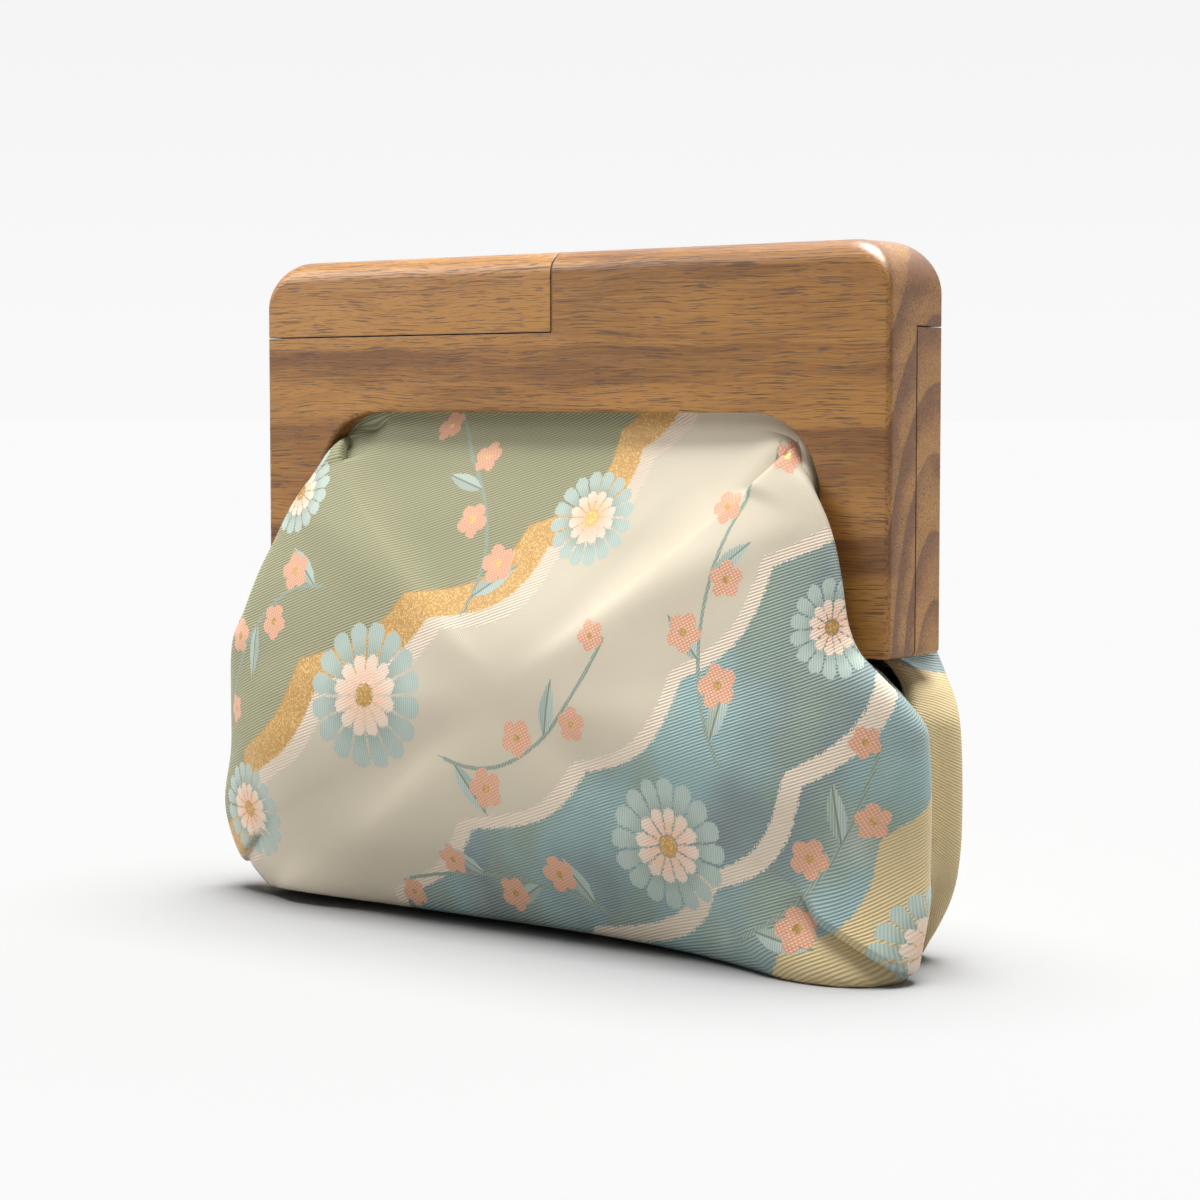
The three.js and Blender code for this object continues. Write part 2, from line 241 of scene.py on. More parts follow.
# %% Sizes of the frame
FRAME_WIDTH = front_high.x - front_low.x
FRAME_DEPTH = front_high.y - front_low.y
FRAME_FOOT = front_low.z
FRAME_TOP = front_high.z
BAR_HEIGHT = 51.4 * MM
LIP_HEIGHT = 25.8 * MM
LIP_SLANT = 0.025
LEG_WIDTH = 25 * MM
OUTER_CORNER = 16 * MM
OPENING_CORNER = 25 * MM
FOOT_CORNER = 2 * MM
MATING_GAP = 0.25 * MM
CUT_EDGE = 0.28 * MM
TOP_EDGE = 7 * MM
END_EDGE = 1.8 * MM
OPENING_EDGE = 1.4 * MM

HALF = FRAME_WIDTH / 2
OPENING_HALF = HALF - LEG_WIDTH
OPENING_TOP = FRAME_TOP - BAR_HEIGHT
LIP_SEAM = FRAME_TOP - LIP_HEIGHT
CORNER_X = OPENING_HALF - OPENING_CORNER
CORNER_Z = OPENING_TOP - OPENING_CORNER

Arc = namedtuple("Arc", "x z radius start end edge_start edge_end hollow")
SHOULDER_Z = FRAME_TOP - OUTER_CORNER
FOOT_Z = FRAME_FOOT + FOOT_CORNER
INNER_FOOT_X = OPENING_HALF + FOOT_CORNER
OUTLINE = [
    Arc(-HALF + OUTER_CORNER, SHOULDER_Z, OUTER_CORNER, 180, 90, END_EDGE, TOP_EDGE, False),
    Arc(HALF - OUTER_CORNER, SHOULDER_Z, OUTER_CORNER, 90, 0, TOP_EDGE, END_EDGE, False),
    Arc(HALF - FOOT_CORNER, FOOT_Z, FOOT_CORNER, 0, -90, END_EDGE, OPENING_EDGE, False),
    Arc(INNER_FOOT_X, FOOT_Z, FOOT_CORNER, -90, -180, OPENING_EDGE, OPENING_EDGE, False),
    Arc(CORNER_X, CORNER_Z, OPENING_CORNER, 0, 90, OPENING_EDGE, OPENING_EDGE, True),
    Arc(-CORNER_X, CORNER_Z, OPENING_CORNER, 90, 180, OPENING_EDGE, OPENING_EDGE, True),
    Arc(-INNER_FOOT_X, FOOT_Z, FOOT_CORNER, 0, -90, OPENING_EDGE, OPENING_EDGE, False),
    Arc(-HALF + FOOT_CORNER, FOOT_Z, FOOT_CORNER, -90, -180, OPENING_EDGE, END_EDGE, False),
]
opening_width = 2 * OPENING_HALF / MM
print(f"frame {FRAME_WIDTH / MM:.0f} x {FRAME_DEPTH / MM:.0f} mm, opening {opening_width:.0f} mm wide")

# %% [markdown]
# ## A plank with soft edges
# The frame could be an extrusion with a Bevel modifier, but a bevel has one width. Here a column of
# points runs over the thickness of the wood at every step of the outline, rounding the front and back
# edges by the width that the outline gives there. The columns joined side by side are the whole frame.

# %% Build the whole frame
ARC_STEPS = 14
EDGE_STEPS = 6


def ease(values, low, high):
    """0 below low, 1 above high and a smooth rise between them."""
    share = np.clip((values - low) / (high - low), 0, 1)
    return share * share * (3 - 2 * share)


def outline_steps(arcs):
    """Points along the outline with their outward direction and the width of the edge there."""
    for arc in arcs:
        for k in range(ARC_STEPS + 1):
            share = k / ARC_STEPS
            angle = math.radians(arc.start + (arc.end - arc.start) * share)
            out = np.array([math.cos(angle), math.sin(angle)])
            point = np.array([arc.x, arc.z]) + arc.radius * out
            edge = arc.edge_start + (arc.edge_end - arc.edge_start) * ease(share, 0, 1)
            yield point, (-out if arc.hollow else out), edge


def edge_column(point, out, edge):
    """One column of points over the thickness, from the front face to the back face."""
    front = []
    for k in range(EDGE_STEPS + 1):
        angle = math.pi / 2 * k / EDGE_STEPS
        x, z = point - out * edge * (1 - math.sin(angle))
        front.append((x, -FRAME_DEPTH / 2 + edge * (1 - math.cos(angle)), z))
    return front + [(x, -y, z) for x, y, z in reversed(front)]


def plank(name, columns):
    """A closed solid from columns that stand side by side round an outline."""
    count, tall = len(columns), len(columns[0])
    faces = []
    for i in range(count):
        for k in range(tall - 1):
            a, b = i * tall + k, ((i + 1) % count) * tall + k
            faces.append((a, a + 1, b + 1, b))
    faces.append([i * tall for i in range(count)])
    faces.append([i * tall + tall - 1 for i in reversed(range(count))])
    piece = new_piece(name, place([p for column in columns for p in column]), faces)
    shape = bmesh.new()
    shape.from_mesh(piece.data)
    bmesh.ops.recalc_face_normals(shape, faces=shape.faces)
    shape.to_mesh(piece.data)
    shape.free()
    return piece


frame_front = plank("frame_front_wood", [edge_column(*step) for step in outline_steps(OUTLINE)])
print(size_text(frame_front))

# %% [markdown]
# ## Cutting the frame into two halves
# The halves meet on the middle plane below the lips, and each half keeps the full depth on its own side
# above them, so the lips interlock. Booleans take away what belongs to the other half, the groove that
# holds the cloth, and the bores of the hidden hinge pins. The cut between the lips is slanted a little, so
# that no light passes straight through it.

# %% Cutters for the front half
GROOVE_FROM_MIDDLE = 7.5 * MM
GROOVE_WIDTH = 3.4 * MM
GROOVE_DEPTH = 4 * MM
PIN_ROOM = 0.3 * MM
BORE_SIDES = 24
FAR = FRAME_WIDTH


def box_piece(name, low, high):
    """A box between two opposite corners."""
    ends = list(zip(low, high))
    points = [(x, y, z) for x in ends[0] for y in ends[1] for z in ends[2]]
    faces = [(0, 1, 3, 2), (4, 6, 7, 5), (0, 4, 5, 1), (2, 3, 7, 6), (0, 2, 6, 4), (1, 5, 7, 3)]
    return new_piece(name, place(points), faces)


def groove_piece():
    """The groove for the hem of the front panel, round three sides of the opening."""
    radius = OPENING_CORNER + GROOVE_DEPTH
    bends = [
        Arc(CORNER_X, CORNER_Z, radius, 0, 90, 0, 0, True),
        Arc(-CORNER_X, CORNER_Z, radius, 90, 180, 0, 0, True),
    ]
    rim = [point for point, _, _ in outline_steps(bends)]
    half = OPENING_HALF + GROOVE_DEPTH
    below = FRAME_FOOT - GROOVE_DEPTH
    rim += [np.array([-half, below]), np.array([half, below])]
    walls = (-GROOVE_FROM_MIDDLE - GROOVE_WIDTH / 2, -GROOVE_FROM_MIDDLE + GROOVE_WIDTH / 2)
    return plank("groove", [[(x, y, z) for y in walls] for x, z in rim])


def bore_piece(node):
    """A hole with a little room round a hinge pin."""
    low, high = (Vector(corner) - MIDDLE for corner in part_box(node))
    centre, radius = (low + high) / 2, (high.z - low.z) / 2 + PIN_ROOM
    ends = (low.x - PIN_ROOM, high.x + PIN_ROOM)
    turns = [2 * math.pi * k / BORE_SIDES for k in range(BORE_SIDES)]
    ring = [(centre.y + radius * math.cos(a), centre.z + radius * math.sin(a)) for a in turns]
    return plank("bore", [[(x, y, z) for x in ends] for y, z in ring])


gap = MATING_GAP / 2
cutters = [
    box_piece("back_of_front", (-FAR, -gap, -FAR), (FAR, FAR, LIP_SEAM + gap)),
    box_piece("other_lip", (-FAR, -FAR, LIP_SEAM - gap), (gap, FAR, FAR)),
    groove_piece(),
    bore_piece("hinge_pin_left"),
    bore_piece("hinge_pin_right"),
]
for vertex in cutters[1].data.vertices:
    vertex.co.x += LIP_SLANT * (vertex.co.y - MIDDLE.y)
print("cutters:", [cutter.name for cutter in cutters])

# %% Cut the front half and turn a copy round for the back
SMOOTH_BELOW = math.radians(32)
CUT_ANGLE = math.radians(60)


def cut_away(piece, cutter):
    """Takes the shape of a cutter out of a piece and throws the cutter away."""
    modifier = piece.modifiers.new(cutter.name, "BOOLEAN")
    modifier.operation = "DIFFERENCE"
    modifier.solver = "EXACT"
    modifier.object = cutter
    settle(piece)
    bpy.data.objects.remove(cutter)


def break_edges(piece):
    """A narrow bevel on every edge that a cut left sharp."""
    bevel = piece.modifiers.new("broken_edges", "BEVEL")
    bevel.width = CUT_EDGE
    bevel.segments = 2
    bevel.limit_method = "ANGLE"
    bevel.angle_limit = CUT_ANGLE
    bevel.use_clamp_overlap = False
    settle(piece)


def smooth_shade(piece):
    """Smooth shading that leaves flat faces flat and keeps the sharp cuts."""
    piece.data.shade_smooth()
    piece.data.set_sharp_from_angle(angle=SMOOTH_BELOW)
    weighted = piece.modifiers.new("even_normals", "WEIGHTED_NORMAL")
    weighted.keep_sharp = True
    settle(piece)


for cutter in cutters:
    cut_away(frame_front, cutter)
break_edges(frame_front)
frame_back = show("frame_back_wood", frame_front.data.copy())
for vertex in frame_back.data.vertices:
    away = vertex.co - MIDDLE
    vertex.co = MIDDLE + Vector((-away.x, -away.y, away.z))
for half in (frame_front, frame_back):
    smooth_shade(half)
    print(size_text(half))

# %% [markdown]
# ## The finish of the wood
# Wood is a solid material, so its figure is worked out in space and not on the surface. The same formula
# then gives long streaks on the front and arcs of rings on the ends, as in two boards sawn side by side.
# Each half is its own board. Pores are short dark streaks along the bar, the shade in the narrow gaps where
# the halves meet is painted as dark lines, and hands have polished what faces upwards. The ends are darker,
# partly for their end grain and partly as painted shade on them.

# %% Wood finish
# along, deep, high: waves per mm along the bar, into it and up it.
Figure = namedtuple("Figure", "along deep high detail rough")
DRIFT = Figure(0.012, 0.045, 0.03, 3.0, 0.5)
CLOUD = Figure(0.014, 0.05, 0.1, 3.0, 0.5)
FIBRE = Figure(0.016, 1.6, 1.6, 4.0, 0.7)
LONG_PORES = Figure(0.06, 2.0, 2.0, 2.0, 0.6)
SHORT_PORES = Figure(0.13, 3.0, 3.0, 1.0, 0.5)
DRIFT_HEIGHT = 9.0
RING_DEPTH = 11.0
RING_MIDDLE = 70.0
RING_FLATNESS = 3.3
RING_SPACING = 21.0
HONEY = colour(180, 127, 61)
NUT = colour(122, 76, 32)
# Dark brown of the pores, also used to paint the shade in the gaps where the halves meet.
PORE_AND_GAP_SHADE_BROWN = colour(66, 41, 24)
# Width in mm of the painted shade along the gaps between the halves.
GAP_SHADE_WIDTH = 0.6
# The ends are darker: partly their end grain, partly painted shade that falls on them.
END_GRAIN_AND_SHADE = 0.12
POLISH = 0.8
GRAIN_DEPTH = 0.1 * MM


def painted_gap_shade_lines(x, y, z):
    """1 on the lines where the halves of the frame meet, where the shade of the narrow gaps between them is
    painted.
    """
    above = z > LIP_SEAM / MM
    from_lines = (z - LIP_SEAM / MM, x, y)
    lip, split, middle = (1 - off.math("ABSOLUTE").step(0.1, GAP_SHADE_WIDTH) for off in from_lines)
    return (lip * (x * y > 0.0)).math("MAXIMUM", split * above).math("MAXIMUM", middle * (1 - above))


def streaks(wood, spot, figure):
    """Noise that is drawn out along the bar."""
    x, y, z = spot
    stretched = wood.join(x * figure.along, y * figure.deep, z * figure.high)
    return wood.noise(stretched, 1.0, figure.detail, figure.rough)


def late_wood(y, z):
    """1 in the dark part of each ring. The rings are flat ovals about a line along the bar."""
    across = ((y - RING_DEPTH) * RING_FLATNESS).math("POWER", 2.0)
    radius = (across + (z - RING_MIDDLE).math("POWER", 2.0)).math("SQRT")
    ring = (radius / RING_SPACING).math("FRACT")
    return ring.step(0.15, 0.9) * (1 - ring.step(0.92, 1.0))


def wood_finish(name, along, tone):
    """One board: along shifts its figure on the grain, tone makes it lighter above 0."""
    wood = Finish(name)
    spot = wood.node("ShaderNodeTexCoord", {}, {}, "Object").vector("SUBTRACT", MIDDLE)
    x, y, z = (part / MM for part in spot.parts())
    # Painted shade on the lines where the halves of the frame meet.
    gap_shade = painted_gap_shade_lines(x, y, z)
    x = x + along
    bent = z + (streaks(wood, (x, y, z), DRIFT) - 0.5) * DRIFT_HEIGHT
    late = late_wood(y, bent)
    figures = (CLOUD, FIBRE, LONG_PORES, SHORT_PORES)
    cloud, fibre, long_pores, short_pores = (streaks(wood, (x, y, bent), figure) for figure in figures)
    pore = long_pores.step(0.56, 0.62).math("MAXIMUM", short_pores.step(0.6, 0.66) * 0.8)
    way, _, up = wood.node("ShaderNodeNewGeometry", {}, {}, "Normal").parts()
    # Faces at the ends of the bar: end grain, and painted shade on the ends.
    end_grain_and_shade = way.math("ABSOLUTE").step(0.5, 0.95)
    handled = up.step(0.1, 0.75)
    pale = cloud.step(0.3, 0.72) * 0.45 + fibre.step(0.25, 0.75) * 0.5 - late * 0.36 + (0.33 + tone)
    # The ends are darkened, partly as end grain and partly as painted shade.
    body = wood.blend((pale - end_grain_and_shade * (END_GRAIN_AND_SHADE + late * 0.3)).step(0.1, 1.1), NUT, HONEY)
    # Dark pores, and painted shade in the gaps where the halves meet.
    dark = (pore * 0.68).math("MAXIMUM", gap_shade * 0.8)
    wood.surface(Base_Color=wood.blend(dark, body, PORE_AND_GAP_SHADE_BROWN))
    wood.surface(Roughness=0.26 + fibre * 0.16 + pore * 0.15, Specular_IOR_Level=0.5)
    wood.surface(Coat_Weight=handled * POLISH + 0.1, Coat_Roughness=0.42)
    wood.bump(fibre * 0.4 - pore, GRAIN_DEPTH, 0.6)
    return wood.material


# Piece, shift of its figure along the grain in mm, tone.
BOARDS = [(frame_front, 0.0, 0.0), (frame_back, 410.0, 0.34)]
for half, along, tone in BOARDS:
    half.data.materials.clear()
    half.data.materials.append(wood_finish(half.name + "_finish", along, tone))
print("wood on", frame_front.name, "and", frame_back.name)

# %% [markdown]
# ## The shape of a cloth panel
# A panel hangs from the groove in the frame and is sewn to the other panel down the sides and along the
# bottom. Its edge is a known loop, so the panel is lofted: a rib runs from each place on the edge over
# the rolled rim and across to the middle of the face. A short table gives a few ribs, and the ribs
# between them follow a spline that never overshoots.

# %% Sizes of the cloth
CLOTH_THICKNESS = 2 * MM
SEAM_FROM_MIDDLE = 1.12 * MM
SEAM_OPENING = 0.2 * MM
SEAM_ALLOWANCE = 5 * MM
TUCK_IN_GROOVE = 4.2 * MM
HEM_FROM_WOOD = 0.9 * MM
MOUTH = OPENING_CORNER - HEM_FROM_WOOD


def heading(degrees):
    """Cosine and sine of an angle."""
    return math.cos(math.radians(degrees)), math.sin(math.radians(degrees))


def mm(*point):
    """A point given in mm."""
    return tuple(v * MM for v in point)


def in_groove(x, z, out_x, out_z):
    """Hem of the cloth where it leaves the groove, and its edge inside the groove."""
    edge = (x + out_x * TUCK_IN_GROOVE, GROOVE_FROM_MIDDLE, z + out_z * TUCK_IN_GROOVE)
    return (x, GROOVE_FROM_MIDDLE, z), edge


def under_bar(x):
    """Hem and edge under the bar, x mm from the middle."""
    return in_groove(x * MM, CORNER_Z + MOUTH, 0, 1)


def down_leg(z):
    """Hem and edge along the inside of a leg, z mm above the floor."""
    return in_groove(CORNER_X + MOUTH, z * MM, 1, 0)


def round_corner(degrees):
    """Hem and edge in the corner of the opening, degrees from straight up."""
    out_z, out_x = heading(degrees)
    return in_groove(CORNER_X + MOUTH * out_x, CORNER_Z + MOUTH * out_z, out_x, out_z)


def along_seam(x, z, degrees):
    """Hem in the valley of the seam, and its edge turned into the bag."""
    out_z, out_x = heading(degrees)
    edge = (x * MM - out_x * SEAM_ALLOWANCE, SEAM_FROM_MIDDLE, z * MM - out_z * SEAM_ALLOWANCE)
    return (x * MM, SEAM_FROM_MIDDLE + SEAM_OPENING, z * MM), edge


def hanging_free(x, depth, z, tuck=0.5):
    """Hem under the foot of a leg, where nothing holds it, and its edge turned into the bag."""
    return mm(x, depth, z), mm(x - 4, depth - tuck, z + 1)


print("cloth", CLOTH_THICKNESS / MM, "mm thick, tucked", TUCK_IN_GROOVE / MM, "mm into the groove")

# %% Ribs of the right half of a panel
# turn: share of the way round the edge. neck, limb, face: points just outside the hem, on the rolled rim
# and on the way to the middle. Points are x, distance from the middle plane, z.
Rib = namedtuple("Rib", "turn hem edge neck limb face")
RIBS = [
    Rib(0.0, *under_bar(0), mm(0, 8.4, 162), mm(0, 14, 151), mm(0, 25.5, 127)),
    Rib(0.12, *under_bar(40), mm(40, 8.4, 162), mm(39, 14, 151), mm(33, 25.5, 127)),
    Rib(0.21, *under_bar(76), mm(75, 8.8, 162), mm(71, 14, 152), mm(58, 24.5, 130)),
    Rib(0.25, *round_corner(45), mm(92.8, 11, 157.2), mm(90, 17, 150), mm(74, 25, 135)),
    Rib(0.3, *down_leg(141), mm(99.6, 16.4, 141), mm(105.5, 20, 139), mm(85, 27, 132)),
    Rib(0.39, *down_leg(119), mm(99.6, 16.6, 118), mm(116.5, 22, 117), mm(93, 30, 115)),
    Rib(0.47, *down_leg(95.5), mm(99.6, 17, 94.2), mm(126, 22.5, 95.5), mm(98, 33, 96)),
    Rib(0.485, *hanging_free(113.5, 7.5, 92), mm(112, 16, 91), mm(128.8, 22.3, 92), mm(99, 33.5, 92.5)),
    Rib(0.5, *hanging_free(119.5, 6.5, 88), mm(121, 14, 87.5), mm(131.5, 22, 88.5), mm(100, 34, 89)),
    Rib(0.54, *hanging_free(125, 4, 81, 0.4), mm(130, 10, 81), mm(136, 20, 80.5), mm(103, 35, 81.5)),
    Rib(0.58, *along_seam(127, 73, 80), mm(134, 6.5, 72.5), mm(139.5, 17.5, 72), mm(106, 36, 73)),
    Rib(0.66, *along_seam(127.5, 50, 90), mm(135.5, 6.5, 50), mm(140.5, 17.5, 50), mm(108, 37, 55)),
    Rib(0.72, *along_seam(127.5, 29, 100), mm(134.5, 6.5, 27.5), mm(140, 18, 26), mm(105, 36.5, 41)),
    Rib(0.76, *along_seam(118, 15, 128), mm(123, 7.5, 11.5), mm(131.5, 22, 7), mm(97, 35, 32)),
    Rib(0.81, *along_seam(105, 6.5, 165), mm(107, 8, 0.5), mm(115, 25, -2.5), mm(82, 34.5, 27)),
    Rib(0.9, *along_seam(58, 5, 180), mm(58, 6, 0), mm(59, 13, -2.5), mm(50, 35, 26)),
    Rib(1.0, *along_seam(0, 5, 180), mm(0, 5.5, 0), mm(0, 10, -2), mm(0, 35, 26)),
]
CENTRE = np.array(mm(0, 39, 78))
# Places along a rib. The last lies past the middle of the face and keeps the curve level there.
EDGE, HEM, NECK, LIMB, FACE, CENTRE_PLACE, OPPOSITE = range(7)
rib_turns = np.array([rib.turn for rib in RIBS])
rib_table = np.array([[rib.edge, rib.hem, rib.neck, rib.limb, rib.face] for rib in RIBS])
print(len(RIBS), "ribs given for half a panel")

# %% The splines that fill in the other ribs
# fullness, spread: how far a panel swells out and how far its rim passes SPREAD_FROM, as shares.
SPREAD_FROM = 124 * MM
Form = namedtuple("Form", "facing fullness spread")
FRONT = Form(-1, 1.0, 1.0)
BACK = Form(1, 0.7, 0.62)


def between_ribs(turns):
    """The five points of the ribs at any turns, by cubics that never overshoot the table."""
    width = np.diff(rib_turns)[:, None, None]
    rise = np.diff(rib_table, axis=0) / width
    slope = np.zeros_like(rib_table)
    both = rise[:-1] * rise[1:]
    total = rise[:-1] + rise[1:]
    slope[1:-1] = np.where(both > 0, 2 * both / np.where(both > 0, total, 1), 0)
    at = np.clip(np.searchsorted(rib_turns, turns) - 1, 0, len(RIBS) - 2)
    span = width[at]
    t = ((turns - rib_turns[at]) / span[:, 0, 0])[:, None, None]
    pull = t * t * (3 - 2 * t)
    leave = slope[at] * t * (1 - t) ** 2 * span
    arrive = slope[at + 1] * t * t * (t - 1) * span
    return rib_table[at] * (1 - pull) + rib_table[at + 1] * pull + leave + arrive


def centripetal(p0, p1, p2, p3, t):
    """The middle stretch of a smooth curve through four points, which never loops."""
    pairs = ((p0, p1), (p1, p2), (p2, p3))
    d0, d1, d2 = (np.sqrt(np.linalg.norm(b - a, axis=1))[:, None] for a, b in pairs)
    leave = ((p1 - p0) / d0 - (p2 - p0) / (d0 + d1) + (p2 - p1) / d1) * d1
    arrive = ((p2 - p1) / d1 - (p3 - p1) / (d1 + d2) + (p3 - p2) / d2) * d1
    c2 = 3 * (p2 - p1) - 2 * leave - arrive
    c3 = 2 * (p1 - p2) + leave + arrive
    return p1 + leave * t + c2 * t**2 + c3 * t**3


def on_ribs(turns, positions, form):
    """Points of a panel. Positions run from 0 at the EDGE of the cloth to CENTRE_PLACE on the face."""
    turns, positions = np.ravel(turns), np.ravel(positions)
    knots = np.empty((len(turns), OPPOSITE + 1, 3))
    knots[:, :CENTRE_PLACE] = between_ribs(turns)
    knots[:, CENTRE_PLACE] = CENTRE
    neck_depth = knots[:, NECK, 1].copy()
    for k in (LIMB, FACE, CENTRE_PLACE):
        knots[:, k, 1] = neck_depth + (knots[:, k, 1] - neck_depth) * form.fullness
    for k in (NECK, LIMB):
        knots[:, k, 0] -= np.maximum(knots[:, k, 0] - SPREAD_FROM, 0) * (1 - form.spread)
    knots[:, OPPOSITE] = 2 * knots[:, CENTRE_PLACE] - knots[:, FACE]
    knots[:, OPPOSITE, 1] = knots[:, FACE, 1]
    before = 2 * knots[:, EDGE:HEM] - knots[:, HEM:NECK]
    after = 2 * knots[:, OPPOSITE:] - knots[:, CENTRE_PLACE:OPPOSITE]
    chain = np.concatenate([before, knots, after], axis=1)
    part = np.minimum(positions.astype(int), CENTRE_PLACE)
    row = np.arange(len(turns))
    p0, p1, p2, p3 = (chain[row, part + k] for k in range(4))
    return centripetal(p0, p1, p2, p3, (positions - part)[:, None])


face_middle = on_ribs([0.0], [CENTRE_PLACE], FRONT)[0]
print("middle of the front panel:", [round(v / MM, 1) for v in face_middle], "mm")

# %% [markdown]
# ## Folds
# Cloth that is gathered into a frame pulls into folds at the corners, and the cloth that is taken in at the
# bottom corners swells beside the darts. Painted shading would not change the outline, so the panel is
# really moved along its own normals. A fold runs along a rib for a stretch, with a width and a depth.

# %% Tables of folds
# side: 1 right, -1 left. start, end: positions on the rib. width, depth in mm, a valley below 0.
Fold = namedtuple("Fold", "side turn start end width depth")
FRONT_FOLDS = [
    Fold(1, 0.262, 1.8, 3.6, 5, -2.4),
    Fold(1, 0.238, 2.1, 3.6, 6, 1.4),
    Fold(1, 0.746, 1.0, 3.6, 8, -3.2),
    Fold(1, 0.788, 2.2, 4.7, 18, 12.0),
    Fold(-1, 0.225, 1.2, 3.1, 5, -3.2),
    Fold(-1, 0.262, 2.1, 3.6, 7, 1.0),
    Fold(-1, 0.46, 2.2, 4.6, 26, 4.2),
    Fold(-1, 0.748, 1.0, 3.6, 7, -2.6),
]
BACK_FOLDS = [
    Fold(1, 0.255, 1.8, 4.0, 5, -2.4),
    Fold(1, 0.23, 2.1, 3.8, 6, 1.6),
    Fold(1, 0.75, 1.0, 3.9, 6, -1.2),
    Fold(1, 0.78, 1.8, 4.4, 20, -2.0),
    Fold(-1, 0.25, 1.8, 4.0, 5, -2.4),
    Fold(-1, 0.275, 2.2, 4.0, 6, 1.6),
    Fold(-1, 0.75, 1.0, 3.9, 6, -1.2),
]


def fold_heights(folds, sides, turns, positions, points, form):
    """How far each point rises along its normal."""
    heights = np.zeros(len(turns))
    for fold in folds:
        near = (sides == fold.side) & (positions > fold.start) & (positions < fold.end)
        rib = on_ribs(np.full(near.sum(), fold.turn), positions[near], form)
        away = np.linalg.norm(points[near] - rib, axis=1) / (fold.width * MM)
        along = (positions[near] - fold.start) / (fold.end - fold.start)
        heights[near] += fold.depth * MM * np.exp(-(away**2)) * np.sin(np.pi * np.sqrt(along)) ** 2
    return heights


print(len(FRONT_FOLDS), "folds in front and", len(BACK_FOLDS), "behind")

# %% [markdown]
# ## Creases
# Where cloth is stitched or pinched, one side rolls over the other and leaves a thin dark line. A crease
# is such a step: cloth on one side of a rib is lifted and slides over the cloth on the other side, which
# sinks. The darts at the bottom corners and the pleats at the corners of the opening are creases.

# %% Table of creases
# lift, sink: heights in mm beside the line. lip, valley: how far they reach. lean: how far the lip slides
# over the valley. over: 1 if the upper side lifts, -1 if the lower one does.
Crease = namedtuple("Crease", "side turn start end lift sink lip valley lean over")
CREASE_SOFTNESS = 0.15 * MM
CREASE_OVERLAP = 0.2 * MM
CREASE_RISE, CREASE_FADE = (0.1, 0.6), (0.86, 1.0)
TURN_STEP = 0.004
FRONT_CREASES = [
    Crease(1, 0.75, 2.0, 3.8, 3.2, 5.2, 13.0, 8.0, 3.2, 1),
    Crease(1, 0.25, 1.9, 3.7, 1.6, 2.2, 9.0, 6.0, 0.8, -1),
    Crease(-1, 0.75, 2.3, 3.7, 0.8, 1.0, 9.0, 6.0, 0.4, 1),
    Crease(-1, 0.25, 1.4, 3.1, 0.8, 2.6, 8.0, 8.0, 0.2, -1),
]
BACK_CREASES = [
    Crease(1, 0.25, 1.9, 3.8, 1.6, 2.4, 9.0, 6.0, 0.6, -1),
    Crease(-1, 0.25, 1.9, 3.7, 1.6, 2.2, 8.0, 7.0, 0.6, -1),
]


def crease_moves(creases, sides, turns, positions, points, form):
    """How far each point rises along its normal, and how far it slides round the panel."""
    heights, slides = np.zeros(len(turns)), np.zeros(len(turns))
    for crease in creases:
        near = (sides == crease.side) & (positions > crease.start) & (positions < crease.end)
        rib = on_ribs(np.full(near.sum(), crease.turn), positions[near], form)
        above = np.sign(crease.turn - turns[near]) * crease.over
        away = np.linalg.norm(points[near] - rib, axis=1) * above
        raised = 0.5 + 0.5 * np.tanh((away + CREASE_OVERLAP) / CREASE_SOFTNESS)
        lip = np.exp(-((away / MM / crease.lip) ** 2))
        valley = np.exp(-((away / MM / crease.valley) ** 2))
        along = (positions[near] - crease.start) / (crease.end - crease.start)
        strength = ease(along, *CREASE_RISE) * (1 - ease(along, *CREASE_FADE)) * MM
        heights[near] += (raised * crease.lift * lip - (1 - raised) * crease.sink * valley) * strength
        slides[near] += raised * crease.lean * crease.over * lip * strength
    return heights, slides


def round_the_panel(turns, positions, form):
    """The direction in which turn grows, at each point."""
    ahead = on_ribs(np.minimum(turns + TURN_STEP, 1.0), positions, form)
    behind = on_ribs(np.maximum(turns - TURN_STEP, 0.0), positions, form)
    way = ahead - behind
    return way / np.maximum(np.linalg.norm(way, axis=1), 1e-9)[:, None]


print(len(FRONT_CREASES), "creases in front and", len(BACK_CREASES), "behind")

# %% [markdown]
# ## Cloth coordinates
# A woven design lies flat on the cloth before it is sewn, so it needs coordinates that follow the cloth
# over the rim. From the middle of the face, each point keeps its direction and its distance measured
# along the rib. That is how a flat sheet would reach it, so motifs keep their size all over the face.
# Averaging the grid with its neighbours takes out the ridges where ribs meet. Each such pass is followed
# by one that swells the face again, so that it keeps its fullness.

# %% The grid of a panel
# RINGS: how many squares of the grid lie between one point of a rib and the next, from the edge inwards.
RINGS = [4, 6, 20, 32, 34]
CORNERS = (0.25, 0.75)
CROWD_REACH = 0.06
CROWDING = 0.8


def crowd(turns):
    """Moves grid lines closer together about the creases at the four corners."""
    for corner in CORNERS:
        off = np.clip((turns - corner) / CROWD_REACH, -1, 1)
        turns = turns - CROWD_REACH * CROWDING * off * (1 - off**2)
    return turns


